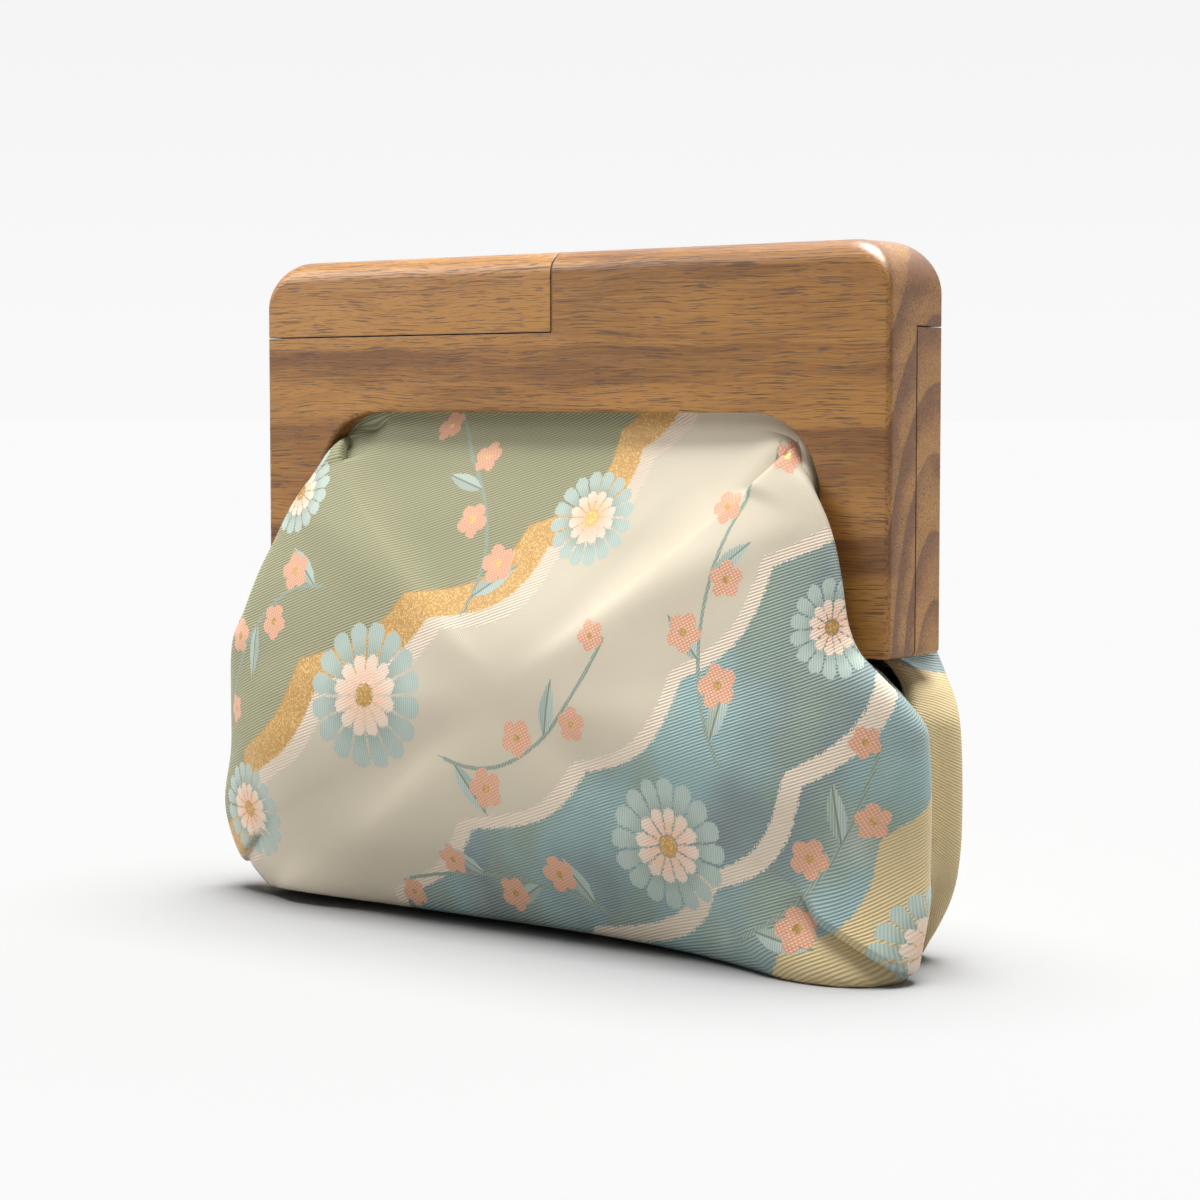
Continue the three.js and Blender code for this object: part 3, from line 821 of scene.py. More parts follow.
def panel_grid():
    """Side, turn and position of a grid of nested squares, the outermost on the edge of the cloth."""
    ends = np.cumsum([0, *RINGS])
    places = np.concatenate([[0.0], *[k + np.arange(1, n + 1) / n for k, n in enumerate(RINGS)]])
    rings = ends[-1]
    row, col = np.mgrid[0 : 2 * rings + 1, 0 : 2 * rings + 1].reshape(2, -1)
    across, up = col - rings, rings - row
    ring = np.maximum(abs(across), abs(up))
    whole = 4 * np.maximum(ring, 1)
    top, bottom = up == ring, up == -ring
    turn = np.where(top, abs(across), np.where(bottom, whole - abs(across), 2 * ring - up)) / whole
    return np.where(across < 0, -1, 1), crowd(turn), places[rings - ring], 2 * rings


sides, turns, positions, grid_size = panel_grid()
print("grid of", grid_size, "by", grid_size, "faces for each panel")

# %% Flat coordinates
EVEN_FROM = (3.2, 3.8)
EVEN_PASSES = 160
SETTLE, SWELL = 0.6, -0.63
MEASURED_TURNS, MEASURED_PLACES = 180, 160
JUST_INSIDE = 0.001


def even_out(values, positions):
    """Values on the grid, averaged over the face so that no ridge is left where the ribs meet."""
    grid = values.reshape(grid_size + 1, grid_size + 1, -1).copy()
    share = ease(positions, *EVEN_FROM).reshape(*grid.shape[:2], 1)[1:-1, 1:-1]
    for weight in (SETTLE, SWELL) * EVEN_PASSES:
        around = (grid[:-2, 1:-1] + grid[2:, 1:-1] + grid[1:-1, :-2] + grid[1:-1, 2:]) / 4
        grid[1:-1, 1:-1] += weight * share * (around - grid[1:-1, 1:-1])
    return grid.reshape(values.shape)


def flat_places(sides, turns, positions, form):
    """Flat coordinates of the cloth, in metres from the middle of the face."""
    turn_steps = np.linspace(0, 1, MEASURED_TURNS + 1)
    place_steps = np.linspace(CENTRE_PLACE, 0, MEASURED_PLACES + 1)
    lines = on_ribs(*np.meshgrid(turn_steps, place_steps, indexing="ij"), form)
    lines = lines.reshape(len(turn_steps), len(place_steps), 3)
    length = np.cumsum(np.linalg.norm(np.diff(lines, axis=1, prepend=lines[:, :1]), axis=2), axis=1)
    angles = np.unwrap(np.arctan2(lines[..., 2] - CENTRE[2], lines[..., 0]), axis=1)
    angles[:, 0] = angles[:, 1]
    rim = np.searchsorted(-place_steps, -LIMB)
    angles[:, rim:] = angles[:, rim : rim + 1]
    inwards = (CENTRE_PLACE - positions) / CENTRE_PLACE
    row = np.clip(turns * MEASURED_TURNS, 0, MEASURED_TURNS - JUST_INSIDE)
    col = np.clip(inwards * MEASURED_PLACES, 0, MEASURED_PLACES - JUST_INSIDE)
    i, j = row.astype(int), col.astype(int)
    s, t = row - i, col - j

    def read(table):
        upper = table[i, j] * (1 - t) + table[i, j + 1] * t
        lower = table[i + 1, j] * (1 - t) + table[i + 1, j + 1] * t
        return upper * (1 - s) + lower * s

    reach, angle = read(length), read(angles)
    return even_out(np.stack([sides * reach * np.cos(angle), reach * np.sin(angle)], axis=1), positions)


front_flat = flat_places(sides, turns, positions, FRONT)
back_flat = flat_places(sides, turns, positions, BACK)

# %% [markdown]
# ## The woven design
# Brocade shows its design in differently bound threads. This one has drifting cloud bands, round flowers
# with many petals, and sprays of five-petalled blossoms. Painting it point by point would blur, so each
# point of the mesh only stores where it lies inside its nearest motif. The shader draws the motif from
# that, as sharp as the render needs.

# %% Motif tables
# Places are in mm from the middle of the face, as the cloth lies flat.
Motif = namedtuple("Motif", "x y radius turn")
ROUND_FLOWERS = [
    Motif(-58, -4, 25, 4),
    Motif(64, -42, 22, 9),
    Motif(24, 58, 17, 0),
    Motif(120, 26, 16, 5),
    Motif(-120, -48, 17, 2),
    Motif(-106, 62, 15, 7),
    Motif(-10, -94, 16, 0),
    Motif(146, -66, 15, 3),
]
Spray = namedtuple("Spray", "start bend end blossoms leaves")
SPRAYS = [
    Spray((-20, 26), (-6, 58), (-52, 92), 4, 2),
    Spray((-84, 30), (-112, 34), (-134, -12), 4, 2),
    Spray((-24, -22), (12, -34), (38, 18), 4, 2),
    Spray((84, -14), (60, 26), (92, 78), 5, 3),
    Spray((36, -68), (0, -54), (-50, -66), 4, 3),
    Spray((92, -66), (124, -52), (134, -8), 4, 2),
]
BLOSSOM_SIZE = 7.0
BLOSSOM_STRETCH = (0.24, 1.0)
BLOSSOM_TAPER = 0.35
BLOSSOM_REACH = 0.9
BLOSSOM_TURN = 27
LEAF_LENGTH = 21.0
LEAF_STRETCH = (0.06, 0.62)
LEAF_TAPER = 0.1
LEAF_SLIMNESS = 0.16
LEAF_LEAN = 38


def stem_points(spray, shares):
    """Points along a stem: a curve from its start to its end, drawn towards its bend."""
    start, bend, end = (np.array(p, dtype=float) for p in (spray.start, spray.bend, spray.end))
    s = np.asarray(shares)[:, None]
    return (1 - s) ** 2 * start + 2 * s * (1 - s) * bend + s**2 * end


def along_stem(spray, count, first, last):
    """Places along a stem with the direction of the stem there, in degrees."""
    shares = np.linspace(first, last, count)
    feet, ahead = stem_points(spray, shares), stem_points(spray, shares + 0.01)
    way = ahead - feet
    return list(zip(feet, np.degrees(np.arctan2(way[:, 1], way[:, 0]))))


def blossoms_of(spray):
    """Blossoms on alternate sides of a stem, smaller towards its tip."""
    for k, (foot, way) in enumerate(along_stem(spray, spray.blossoms, *BLOSSOM_STRETCH)):
        radius = BLOSSOM_SIZE * (1 - BLOSSOM_TAPER * k / spray.blossoms)
        x, y = foot + radius * BLOSSOM_REACH * np.array(heading(way + (90 if k % 2 else -90)))
        yield Motif(x, y, radius, BLOSSOM_TURN * k)


def leaves_of(spray):
    """Foot, direction and length of each leaf, on alternate sides of a stem."""
    for k, (foot, way) in enumerate(along_stem(spray, spray.leaves, *LEAF_STRETCH)):
        yield foot, way + (LEAF_LEAN if k % 2 else -LEAF_LEAN), LEAF_LENGTH * (1 - LEAF_TAPER * k)


BLOSSOMS = [blossom for spray in SPRAYS for blossom in blossoms_of(spray)]
LEAVES = [leaf for spray in SPRAYS for leaf in leaves_of(spray)]
print(len(ROUND_FLOWERS), "round flowers,", len(BLOSSOMS), "blossoms,", len(LEAVES), "leaves")

# %% Where each point lies in the design
FAR_AWAY = 9.0
STEM_POINTS = 25


def nearest_of(flat, places_in):
    """For each point, the row of its nearest motif: two places inside it and its distance."""
    best = np.full((len(flat), 3), FAR_AWAY)
    for inside in places_in:
        closer = inside[:, 2] < best[:, 2]
        best[closer] = inside[closer]
    return best


def in_motif(flat, motif):
    """Place inside a round motif, whose rim is at distance 1."""
    c, s = heading(motif.turn)
    away = (flat - (motif.x, motif.y)) / motif.radius
    return np.stack([away @ (c, s), away @ (-s, c), np.hypot(*away.T)], axis=1)


def in_leaf(flat, foot, lean, length):
    """Share of the way along a leaf, and the distance across it in half widths."""
    c, s = heading(lean)
    away = (flat - foot) / length
    along, across = away @ (c, s), away @ (-s, c) / LEAF_SLIMNESS
    return np.stack([along, across, np.maximum(abs(along - 0.5) * 2, abs(across))], axis=1)


def in_stem(flat, start, end):
    """Distance in mm to the left of a stretch of stem, and the plain distance from it."""
    way = end - start
    share = np.clip((flat - start) @ way / (way @ way), 0, 1)
    off = flat - start - share[:, None] * way
    reach = np.hypot(*off.T)
    left = np.sign(way[0] * off[:, 1] - way[1] * off[:, 0])
    return np.stack([reach * left, share, reach], axis=1)


def stem_stretches():
    """The straight stretches that make up the stems."""
    for spray in SPRAYS:
        line = stem_points(spray, np.linspace(0, 1, STEM_POINTS))
        yield from zip(line[:-1], line[1:])


print("each point finds the nearest of", len(BLOSSOMS + ROUND_FLOWERS), "flowers")

# %% Height across the cloud bands
BAND_SLOPE = 38
SWAY_HEIGHT, SWAY_LENGTH, SWAY_START = 8, 31, 0.6
SCALLOP_HEIGHT, SCALLOP_LENGTH, SCALLOP_LEAN = 7, 15, 45


def band_height(flat):
    """Height in mm across the cloud bands, which rise to the right with scalloped edges."""
    x, y = flat.T
    c, s = heading(BAND_SLOPE)
    level, along = y * c - x * s, x * c + y * s
    sway = SWAY_HEIGHT * np.sin(along / SWAY_LENGTH + SWAY_START)
    scallop = SCALLOP_HEIGHT * abs(np.sin(along / SCALLOP_LENGTH + level / SCALLOP_LEAN))
    return level + sway + scallop


print("bands rise", BAND_SLOPE, "degrees to the right")

# %% [markdown]
# ## Pulling the panel into shape
# The two sides of a real bag are never quite alike. Tugs move the rolled rim outward or inward over a
# stretch. Everything is then put together: the even face, the tugs, the folds along the normals, and the
# underside, which is flat where the bag stands.

# %% Tugs on the rim
# side: 1 right, -1 left. turn, reach: where on the rim. shift: outward in mm.
Tug = namedtuple("Tug", "side turn reach shift")
FRONT_TUGS = [
    Tug(1, 0.45, 0.065, -5.5),
    Tug(-1, 0.714, 0.034, 4.6),
    Tug(-1, 0.79, 0.036, -10.5),
]
BACK_TUGS = [Tug(side, *tug) for side in (1, -1) for tug in ((0.48, 0.06, -5.0), (0.775, 0.045, -5.0))]
RIM_REACH = 0.6


def tug_moves(tugs, sides, turns, positions):
    """How far each point moves outward."""
    moves = np.zeros(len(turns))
    for tug in tugs:
        near = np.exp(-(((turns - tug.turn) / tug.reach) ** 2) - ((positions - LIMB) / RIM_REACH) ** 2)
        moves += tug.shift * MM * near * (sides == tug.side)
    return moves


print(len(FRONT_TUGS), "tugs in front and", len(BACK_TUGS), "behind")


# %% Faces and normals of the grid
def grid_normals(points, triangles):
    """Unit normals at the points, averaged over the triangles round them."""
    a, b, c = (points[triangles[:, k]] for k in range(3))
    face = np.cross(b - a, c - a)
    normals = np.zeros_like(points)
    for k in range(3):
        np.add.at(normals, triangles[:, k], face)
    return normals / np.linalg.norm(normals, axis=1)[:, None]


def grid_quads(size):
    """The corners of each face of the grid."""
    corner = np.arange(size * (size + 1)).reshape(size, size + 1)[:, :-1].ravel()
    return np.stack([corner, corner + size + 1, corner + size + 2, corner + 1], axis=1)


def edge_loop(size):
    """Points of the grid's edge in order: down the left, along the bottom, up and back."""
    grid = np.arange((size + 1) ** 2).reshape(size + 1, size + 1)
    return np.concatenate([grid[:-1, 0], grid[-1, :-1], grid[:0:-1, -1], grid[0, :0:-1]])


print(len(edge_loop(grid_size)), "points round the edge of a panel")

# %% Bottom roll, slack and sole
BOTTOM_ROLL = 5 * MM
ROLL_PLACE = 3.4
ROLL_REACH = 0.25
ROLL_TURNS = (0.78, 0.86)
SLACK = 0.35 * MM
SOLE_FLAT = 6 * MM
SOLE_REACH = 20 * MM
SOLE_RISE = 2.6 * MM
SOLE_CORNER = (20 * MM, 100 * MM)


def bottom_roll(turns, positions):
    """Fullness along the bottom edge, where the weight of the cloth rolls it out."""
    across = np.exp(-(((positions - ROLL_PLACE) / ROLL_REACH) ** 2))
    return BOTTOM_ROLL * across * ease(turns, *ROLL_TURNS)


def slack(design, positions):
    """Gentle unevenness of the cloth, which the frame and the seam hold taut at the edge."""
    x, y = design.T
    waves = np.sin(x / 17 + 0.8 * np.sin(y / 23)) * np.sin(y / 13 + 0.7 * np.sin(x / 19))
    return SLACK * waves * np.clip(positions - NECK, 0, 1)


def sole(points):
    """Height of the underside: flat by the seam, rising to the front except at the right corner."""
    out = np.clip((abs(points[:, 1]) - SOLE_FLAT) / SOLE_REACH, 0, None)
    return SOLE_RISE * out**1.5 * (1 - ease(points[:, 0], *SOLE_CORNER))


print("bottom rolled out by up to", BOTTOM_ROLL / MM, "mm, slack", SLACK / MM, "mm")

# %% Build the panels
BACK_DESIGN_SHIFT = np.array([34.0, -12.0])


def store_design(piece, flat, design):
    """Writes the flat coordinates and the place in the design to every point of the mesh."""
    mesh = piece.data
    layer = mesh.uv_layers.new(name="cloth")
    owner = np.empty(len(mesh.loops), dtype=np.int32)
    mesh.loops.foreach_get("vertex_index", owner)
    layer.data.foreach_set("uv", flat[owner % len(flat)].ravel())
    fields = {
        "blossom": nearest_of(design, (in_motif(design, motif) for motif in BLOSSOMS)),
        "round_flower": nearest_of(design, (in_motif(design, motif) for motif in ROUND_FLOWERS)),
        "leaf": nearest_of(design, (in_leaf(design, *leaf) for leaf in LEAVES)),
        "stem": nearest_of(design, (in_stem(design, *ends) for ends in stem_stretches())),
    }
    for label, values in fields.items():
        field = mesh.attributes.new(label, "FLOAT_VECTOR", "POINT")
        field.data.foreach_set("vector", np.tile(values, (2, 1)).ravel())
    band = mesh.attributes.new("band", "FLOAT", "POINT")
    band.data.foreach_set("value", np.tile(band_height(design), 2))


def cloth_panel(name, form, folds, creases, tugs, flat, design_shift):
    """A panel with a wall of cloth, folded and creased, that knows its place in the design."""
    base = on_ribs(turns, positions, form)
    rise = fold_heights(folds, sides, turns, positions, base, form)
    lift, slide = crease_moves(creases, sides, turns, positions, base, form)
    rise += lift + bottom_roll(turns, positions)
    moves = round_the_panel(turns, positions, form) * slide[:, None]
    moves[:, 0] += tug_moves(tugs, sides, turns, positions)
    design = flat / MM + design_shift
    rise += slack(design, positions)
    quads = grid_quads(grid_size)
    triangles = np.concatenate([quads[:, [0, 1, 2]], quads[:, [0, 2, 3]]])
    mirror = np.stack([sides, -np.ones_like(turns), np.ones_like(turns)], axis=1)
    points = even_out(base * mirror, positions) + moves * mirror
    half = CLOTH_THICKNESS / 2
    points = points + grid_normals(points, triangles) * rise[:, None]
    points[:, 2] = np.maximum(points[:, 2], half + sole(points))
    normals = grid_normals(points, triangles) * half
    wall = np.concatenate([points + normals, points - normals])
    wall[:, 2] = np.maximum(wall[:, 2], 0)
    wall[:, 1] *= -form.facing
    count = len(points)
    loop = edge_loop(grid_size)
    ahead = np.roll(loop, -1)
    rim = np.stack([loop, loop + count, ahead + count, ahead], axis=1)
    faces = np.concatenate([quads, quads[:, ::-1] + count, rim])
    piece = new_piece(name, place(wall), faces if form.facing < 0 else faces[:, ::-1])
    piece.data.shade_smooth()
    store_design(piece, flat, design)
    return piece


cloth_front = cloth_panel(
    "cloth_front", FRONT, FRONT_FOLDS, FRONT_CREASES, FRONT_TUGS, front_flat, np.zeros(2)
)
cloth_back = cloth_panel(
    "cloth_back", BACK, BACK_FOLDS, BACK_CREASES, BACK_TUGS, back_flat, BACK_DESIGN_SHIFT
)
for panel in (cloth_front, cloth_back):
    print(size_text(panel))

# %% [markdown]
# ## The finish of the brocade
# The ground is a twill, whose ribs run up to the right. Each part of the design is bound in its own way:
# a smooth satin in the pale band, a crossed thread in the gold one with glints painted on single threads,
# long floats in the petals and coarse knots in the blossoms. So every binding has its own colour, gloss and
# height, and the design only chooses between them. The edge between two bindings steps from thread to
# thread.

# %% Colours of the threads
CREAM = colour(208, 197, 175)
CREAM_SHADE = colour(192, 182, 159)
ROSE_CREAM = colour(230, 212, 192)
OLIVE = colour(170, 168, 134)
OLIVE_GROOVE = colour(114, 112, 82)
GOLD = colour(192, 148, 82)
# Painted glints: a brighter gold put on random single threads, standing in for highlights.
GOLD_PAINTED_GLINT = colour(228, 192, 130)
WATER = colour(174, 198, 193)
WATER_GROOVE = colour(108, 124, 122)
LAGOON = colour(148, 178, 177)
SLATE = colour(122, 130, 132)
MOSS = colour(142, 154, 132)
MIST = colour(188, 190, 174)
OCHRE = colour(218, 198, 152)
OCHRE_GROOVE = colour(174, 152, 108)
SAGE = colour(188, 203, 194)
SAGE_GROOVE = colour(128, 140, 122)
PEACH = colour(238, 190, 160)
PEACH_GROOVE = colour(206, 148, 118)
print("dyed threads from", [round(v, 2) for v in SLATE[:3]], "to", [round(v, 2) for v in PEACH[:3]])

# %% Weave patterns
# Each pattern is the pitch of its ribs in mm and their slope in degrees.
THREAD = 0.45
TWILL = (0.94, 19)
SATIN = (0.6, -52)
STEM_CORD = (0.9, 62)
LEAF_FLOATS = (0.8, 90)
PETAL_FLOATS = (0.85, 90)
COARSE = (0.95, 24)
KNOT_ROWS, KNOT_COLUMNS = (0.95, 28), (1.1, -58)
PLAIN_ROUGH = 0.62


class Weave:
    """Thread patterns on flat cloth coordinates, in mm, for one finish."""

    def __init__(self, finish):
        self.finish = finish
        uv = finish.node("ShaderNodeUVMap", {"uv_map": "cloth"}, {})
        self.u, self.v, _ = (part / MM for part in uv.parts())
        cell = finish.join((self.u / THREAD).math("FLOOR"), (self.v / THREAD).math("FLOOR"), 0.0)
        self.speck = finish.node("ShaderNodeTexWhiteNoise", {"noise_dimensions": "2D"}, {"Vector": cell})

    def ribs(self, pitch, degrees):
        """Rounded ribs, 1 on top and 0 in the grooves."""
        slope = math.radians(degrees)
        across = self.v * math.cos(slope) - self.u * math.sin(slope)
        return (across * (2 * math.pi / pitch)).math("SINE") * 0.5 + 0.5

    def jagged(self, distance, reach):
        """A distance whose zero line steps from thread to thread."""
        return distance + (self.speck - 0.5) * reach

    def place_in(self, label):
        """The three parts of the place inside a motif that the mesh stores."""
        return self.finish.node("ShaderNodeAttribute", {"attribute_name": label}, {}, "Vector").parts()


class Bindings:
    """Bindings laid over each other, each where its mask is 1. The last one laid shows."""

    def __init__(self, finish, tint, relief):
        self.finish = finish
        self.tint, self.relief, self.rough, self.metal = tint, relief, PLAIN_ROUGH, 0.0

    def lay(self, mask, tint, relief, rough=PLAIN_ROUGH, metal=0.0):
        self.tint = self.finish.blend(mask, self.tint, tint)
        self.relief = mask * (relief - self.relief) + self.relief
        self.rough = mask * (rough - self.rough) + self.rough
        self.metal = mask * (metal - self.metal) + self.metal


print("weave patterns ready, threads", THREAD, "mm")

# %% Shape of a ring of petals
# start, bend: where the petals begin and where their round tips are centred. tip: radius of the tips.
# gap: room between the petals. All are in parts of the radius of the flower.
Ring = namedtuple("Ring", "petals start bend tip gap")
BLOSSOM_RING = Ring(5, -0.2, 0.57, 0.4, 0.0)
OUTER_RING = Ring(16, 0.4, 0.82, 0.14, 0.018)
INNER_RING = Ring(12, 0.16, 0.44, 0.1, 0.012)


def petal_ring(x, y, ring):
    """Distance outside a ring of round-tipped petals."""
    step = 2 * math.pi / ring.petals
    angle = (y.math("ARCTAN2", x) + 4 * math.pi).math("FLOORED_MODULO", step) - step / 2
    reach = (x * x + y * y).math("SQRT")
    along = reach * angle.math("COSINE")
    across = (reach * angle.math("SINE")).math("ABSOLUTE")
    end = along - ring.bend
    round_tip = (end * end + across * across).math("SQRT") - ring.tip
    sides = across - along * math.tan(step / 2) + ring.gap
    body = sides.math("MAXIMUM", end).math("MAXIMUM", ring.start - along)
    return round_tip.math("MINIMUM", body)


print("petals in the rings:", [ring.petals for ring in (BLOSSOM_RING, OUTER_RING, INNER_RING)])

# %% The ground of the brocade
# Lower and upper level of each cloud band, in mm. WASHES: colours that drift over the water, with the
# noise at which each of them starts and at which it covers.
CLOUDS = {
    "gold": (40.0, 52.0),
    "rose": (34.0, 40.0),
    "cream": (-26.0, 34.0),
    "edge": (-31.0, -26.0),
    "ribbon": (-84.0, -77.0),
    "ochre": (-200.0, -112.0),
}
WASHES = [(LAGOON, 0.38, 0.62), (MOSS, 0.46, 0.66), (MIST, 0.55, 0.8)]
WASH_SHIFT = 97.0
WASH_STRETCH = 0.75


def within(level, band):
    """1 inside a cloud band."""
    low, high = CLOUDS[band]
    return (level > low) * (level < high)


def wash(cloth, weave, k):
    """Broad soft noise, another one for each k and finer with it."""
    spot = cloth.join(weave.u + WASH_SHIFT * k, weave.v * WASH_STRETCH, 0.0)
    return cloth.noise(spot, 0.021 + 0.006 * k, 2.5)


def grooved(cloth, ribs, top, groove, share):
    """A colour on the ribs of a weave that turns into another one in its grooves."""
    return cloth.blend((1 - ribs) * share, top, groove)


def ground(cloth, weave):
    """The twill ground and the cloud bands."""
    twill, satin = weave.ribs(*TWILL), weave.ribs(*SATIN)
    band = cloth.node("ShaderNodeAttribute", {"attribute_name": "band"}, {}, "Fac")
    level = weave.jagged(band, 1.2)
    drifts = [wash(cloth, weave, k) for k in range(len(WASHES))]
    water = SLATE
    for drift, (tint, low, high) in zip(drifts, WASHES):
        water = cloth.blend(drift.step(low, high), water, tint)
    water = cloth.blend(twill * 0.3, water, WATER)
    binding = Bindings(cloth, grooved(cloth, twill, water, WATER_GROOVE, 0.5), twill)
    olive = grooved(cloth, twill, OLIVE, OLIVE_GROOVE, 0.8)
    binding.lay(level > CLOUDS["gold"][1], olive, twill)
    ochre = grooved(cloth, twill, OCHRE, OCHRE_GROOVE, 0.8)
    binding.lay(within(level, "ochre"), ochre, twill)
    cream = cloth.blend(drifts[0].step(0.3, 0.7) * 0.35 + satin * 0.16, CREAM, CREAM_SHADE)
    rose = grooved(cloth, twill, ROSE_CREAM, CREAM_SHADE, 0.5)
    binding.lay(within(level, "cream"), cream, satin * 0.2 + 0.1, rough=0.5)
    for name in ("rose", "edge", "ribbon"):
        binding.lay(within(level, name), rose, twill * 0.8 + 0.2)
    # Gold with painted glints on random threads.
    gilt_with_painted_glints = cloth.blend(weave.speck.step(0.5, 1.0) * 0.85, GOLD, GOLD_PAINTED_GLINT)
    binding.lay(within(level, "gold"), gilt_with_painted_glints, weave.speck * 0.7 + 0.3, rough=0.45, metal=0.12)
    return binding, gilt_with_painted_glints


print("ground bands:", list(CLOUDS))

# %% The flowers of the brocade
# Half widths are in mm for stems and in parts of the motif for the others. A motif is only drawn at points
# that are NEAR it, because what the mesh stores jumps from one motif to the next between them.
STEM_HALF, STEM_NEAR = 0.62, 2.8
LEAF_MARGIN, LEAF_NEAR, LEAF_VEIN = 0.08, 1.02, 0.1
BLOSSOM_NEAR, BLOSSOM_HEART = 1.2, 0.2
FLOWER_NEAR, FLOWER_HEART = 1.15, 0.15
HEART_NEAR = 0.6


def lay_sprays(cloth, weave, binding, gilt_with_painted_glints):
    """Stems, slender leaves in long floats, and knotted blossoms."""
    side, _, reach = weave.place_in("stem")
    stalk = (weave.jagged(side.math("ABSOLUTE"), 0.3) < STEM_HALF) * (reach < STEM_NEAR)
    cord = weave.ribs(*STEM_CORD)
    binding.lay(stalk, cloth.blend(cord * 0.5, SAGE_GROOVE, SAGE), cord * 0.5 + 0.8)
    along, across, reach = weave.place_in("leaf")
    width = (along.math("MAXIMUM", 0.0).math("MINIMUM", 1.0).math("POWER", 0.85) * math.pi).math("SINE")
    away = across.math("ABSOLUTE")
    leaf = (weave.jagged(width - away, 0.2) > LEAF_MARGIN) * (reach < LEAF_NEAR)
    floats = weave.ribs(*LEAF_FLOATS)
    blade = cloth.blend(floats * 0.45 + (across > 0.0) * 0.25, SAGE, SAGE_GROOVE)
    blade = cloth.blend((away < LEAF_VEIN) * 0.7, blade, OLIVE_GROOVE)
    binding.lay(leaf, blade, floats * 0.5 + 0.9, rough=0.5)
    x, y, reach = weave.place_in("blossom")
    petals = weave.jagged(petal_ring(x, y, BLOSSOM_RING), 0.1)
    knots = weave.ribs(*KNOT_ROWS) * weave.ribs(*KNOT_COLUMNS)
    peach = grooved(cloth, knots, PEACH, PEACH_GROOVE, 0.75)
    binding.lay((petals < 0.0) * (reach < BLOSSOM_NEAR), peach, knots + 0.8)
    heart = (x * x + y * y).math("SQRT")
    binding.lay((heart < BLOSSOM_HEART) * (reach < HEART_NEAR), gilt_with_painted_glints, 1.2, rough=0.4, metal=0.3)


def lay_round_flowers(cloth, weave, binding, gilt_with_painted_glints):
    """Flowers of three rings: broad outer petals, short inner ones and a gold heart."""
    x, y, reach = weave.place_in("round_flower")
    floats, coarse = weave.ribs(*PETAL_FLOATS), weave.ribs(*COARSE)
    near = reach < FLOWER_NEAR
    outer = weave.jagged(petal_ring(x, y, OUTER_RING), 0.035)
    from_heart = (x * x + y * y).math("SQRT")
    shade = (1 - from_heart.step(0.4, 0.8)) * 0.45 + (1 - floats) * 0.4
    petals = cloth.blend(shade, SAGE, SAGE_GROOVE)
    binding.lay((outer < 0.0) * near, petals, floats * 0.5 + 0.9, rough=0.5)
    middle = weave.jagged(petal_ring(x, y, INNER_RING), 0.035)
    blush = cloth.blend((1 - from_heart.step(0.18, 0.5)) * 0.8 + (1 - coarse) * 0.2, ROSE_CREAM, PEACH)
    binding.lay((middle < 0.0) * near, blush, coarse * 0.5 + 1.1)
    heart = (weave.jagged(from_heart, 0.05) < FLOWER_HEART) * (reach < HEART_NEAR)
    binding.lay(heart, gilt_with_painted_glints, weave.speck * 0.5 + 1.2, rough=0.36, metal=0.4)


print("flower bindings ready")

# %% Brocade finish
WEAVE_HEIGHT = 0.16 * MM


def brocade_finish(name):
    """Ground, sprays and round flowers, laid over each other in this order."""
    cloth = Finish(name)
    weave = Weave(cloth)
    binding, gilt_with_painted_glints = ground(cloth, weave)
    lay_sprays(cloth, weave, binding, gilt_with_painted_glints)
    lay_round_flowers(cloth, weave, binding, gilt_with_painted_glints)
    cloth.surface(Base_Color=binding.tint, Roughness=binding.rough, Metallic=binding.metal)
    cloth.surface(Sheen_Weight=0.1, Sheen_Roughness=0.4, Specular_IOR_Level=0.4)
    cloth.bump(binding.relief, WEAVE_HEIGHT, 0.8)
    return cloth.material


brocade = brocade_finish("brocade_finish")
for panel in (cloth_front, cloth_back):
    panel.data.materials.append(brocade)
print("brocade nodes:", len(brocade.node_tree.nodes))

# %% [markdown]
# ## The seam thread
# The panels are sewn together down the sides and along the bottom, and the stitches lie in the valley
# between them. They repeat along a path, which is what Geometry Nodes are for: the tree spaces points
# along the seam, sets a stitch on each of them and turns it to follow the seam.

# %% The line of the seam
SEAM_FIRST = 0.6
SEAM_STEPS = 120
STITCH_LENGTH = 2.1 * MM
STITCH_WIDTH = 0.5 * MM
STITCH_PITCH = 2.6 * MM


def seam_line():
    """Points down the right side, along the bottom and up the left, in the valley of the seam."""
    right = on_ribs(np.linspace(SEAM_FIRST, 1.0, SEAM_STEPS), np.full(SEAM_STEPS, HEM), FRONT)
    right[:, 1] = 0.0
    left = right[-2::-1] * (-1, 1, 1)
    return np.concatenate([right, left])


thread_line = seam_line()
seam_thread = new_piece("seam_thread", place(thread_line), [])
seam_thread.data.edges.add(len(thread_line) - 1)
for k, edge in enumerate(seam_thread.data.edges):
    edge.vertices = (k, k + 1)
seam_length = np.linalg.norm(np.diff(thread_line, axis=0), axis=1).sum()
print(f"seam {seam_length / MM:.0f} mm long")

# %% Thread finish
TWIST_SCALE = 2500.0
thread_finish = Finish("thread_finish")
spot = thread_finish.node("ShaderNodeTexCoord", {}, {}, "Object")
twist = thread_finish.noise(spot, TWIST_SCALE, 1.0)
thread_finish.surface(Base_Color=thread_finish.blend(twist, OLIVE_GROOVE, OCHRE), Roughness=0.55)
print("thread", STITCH_WIDTH / MM, "mm thick")


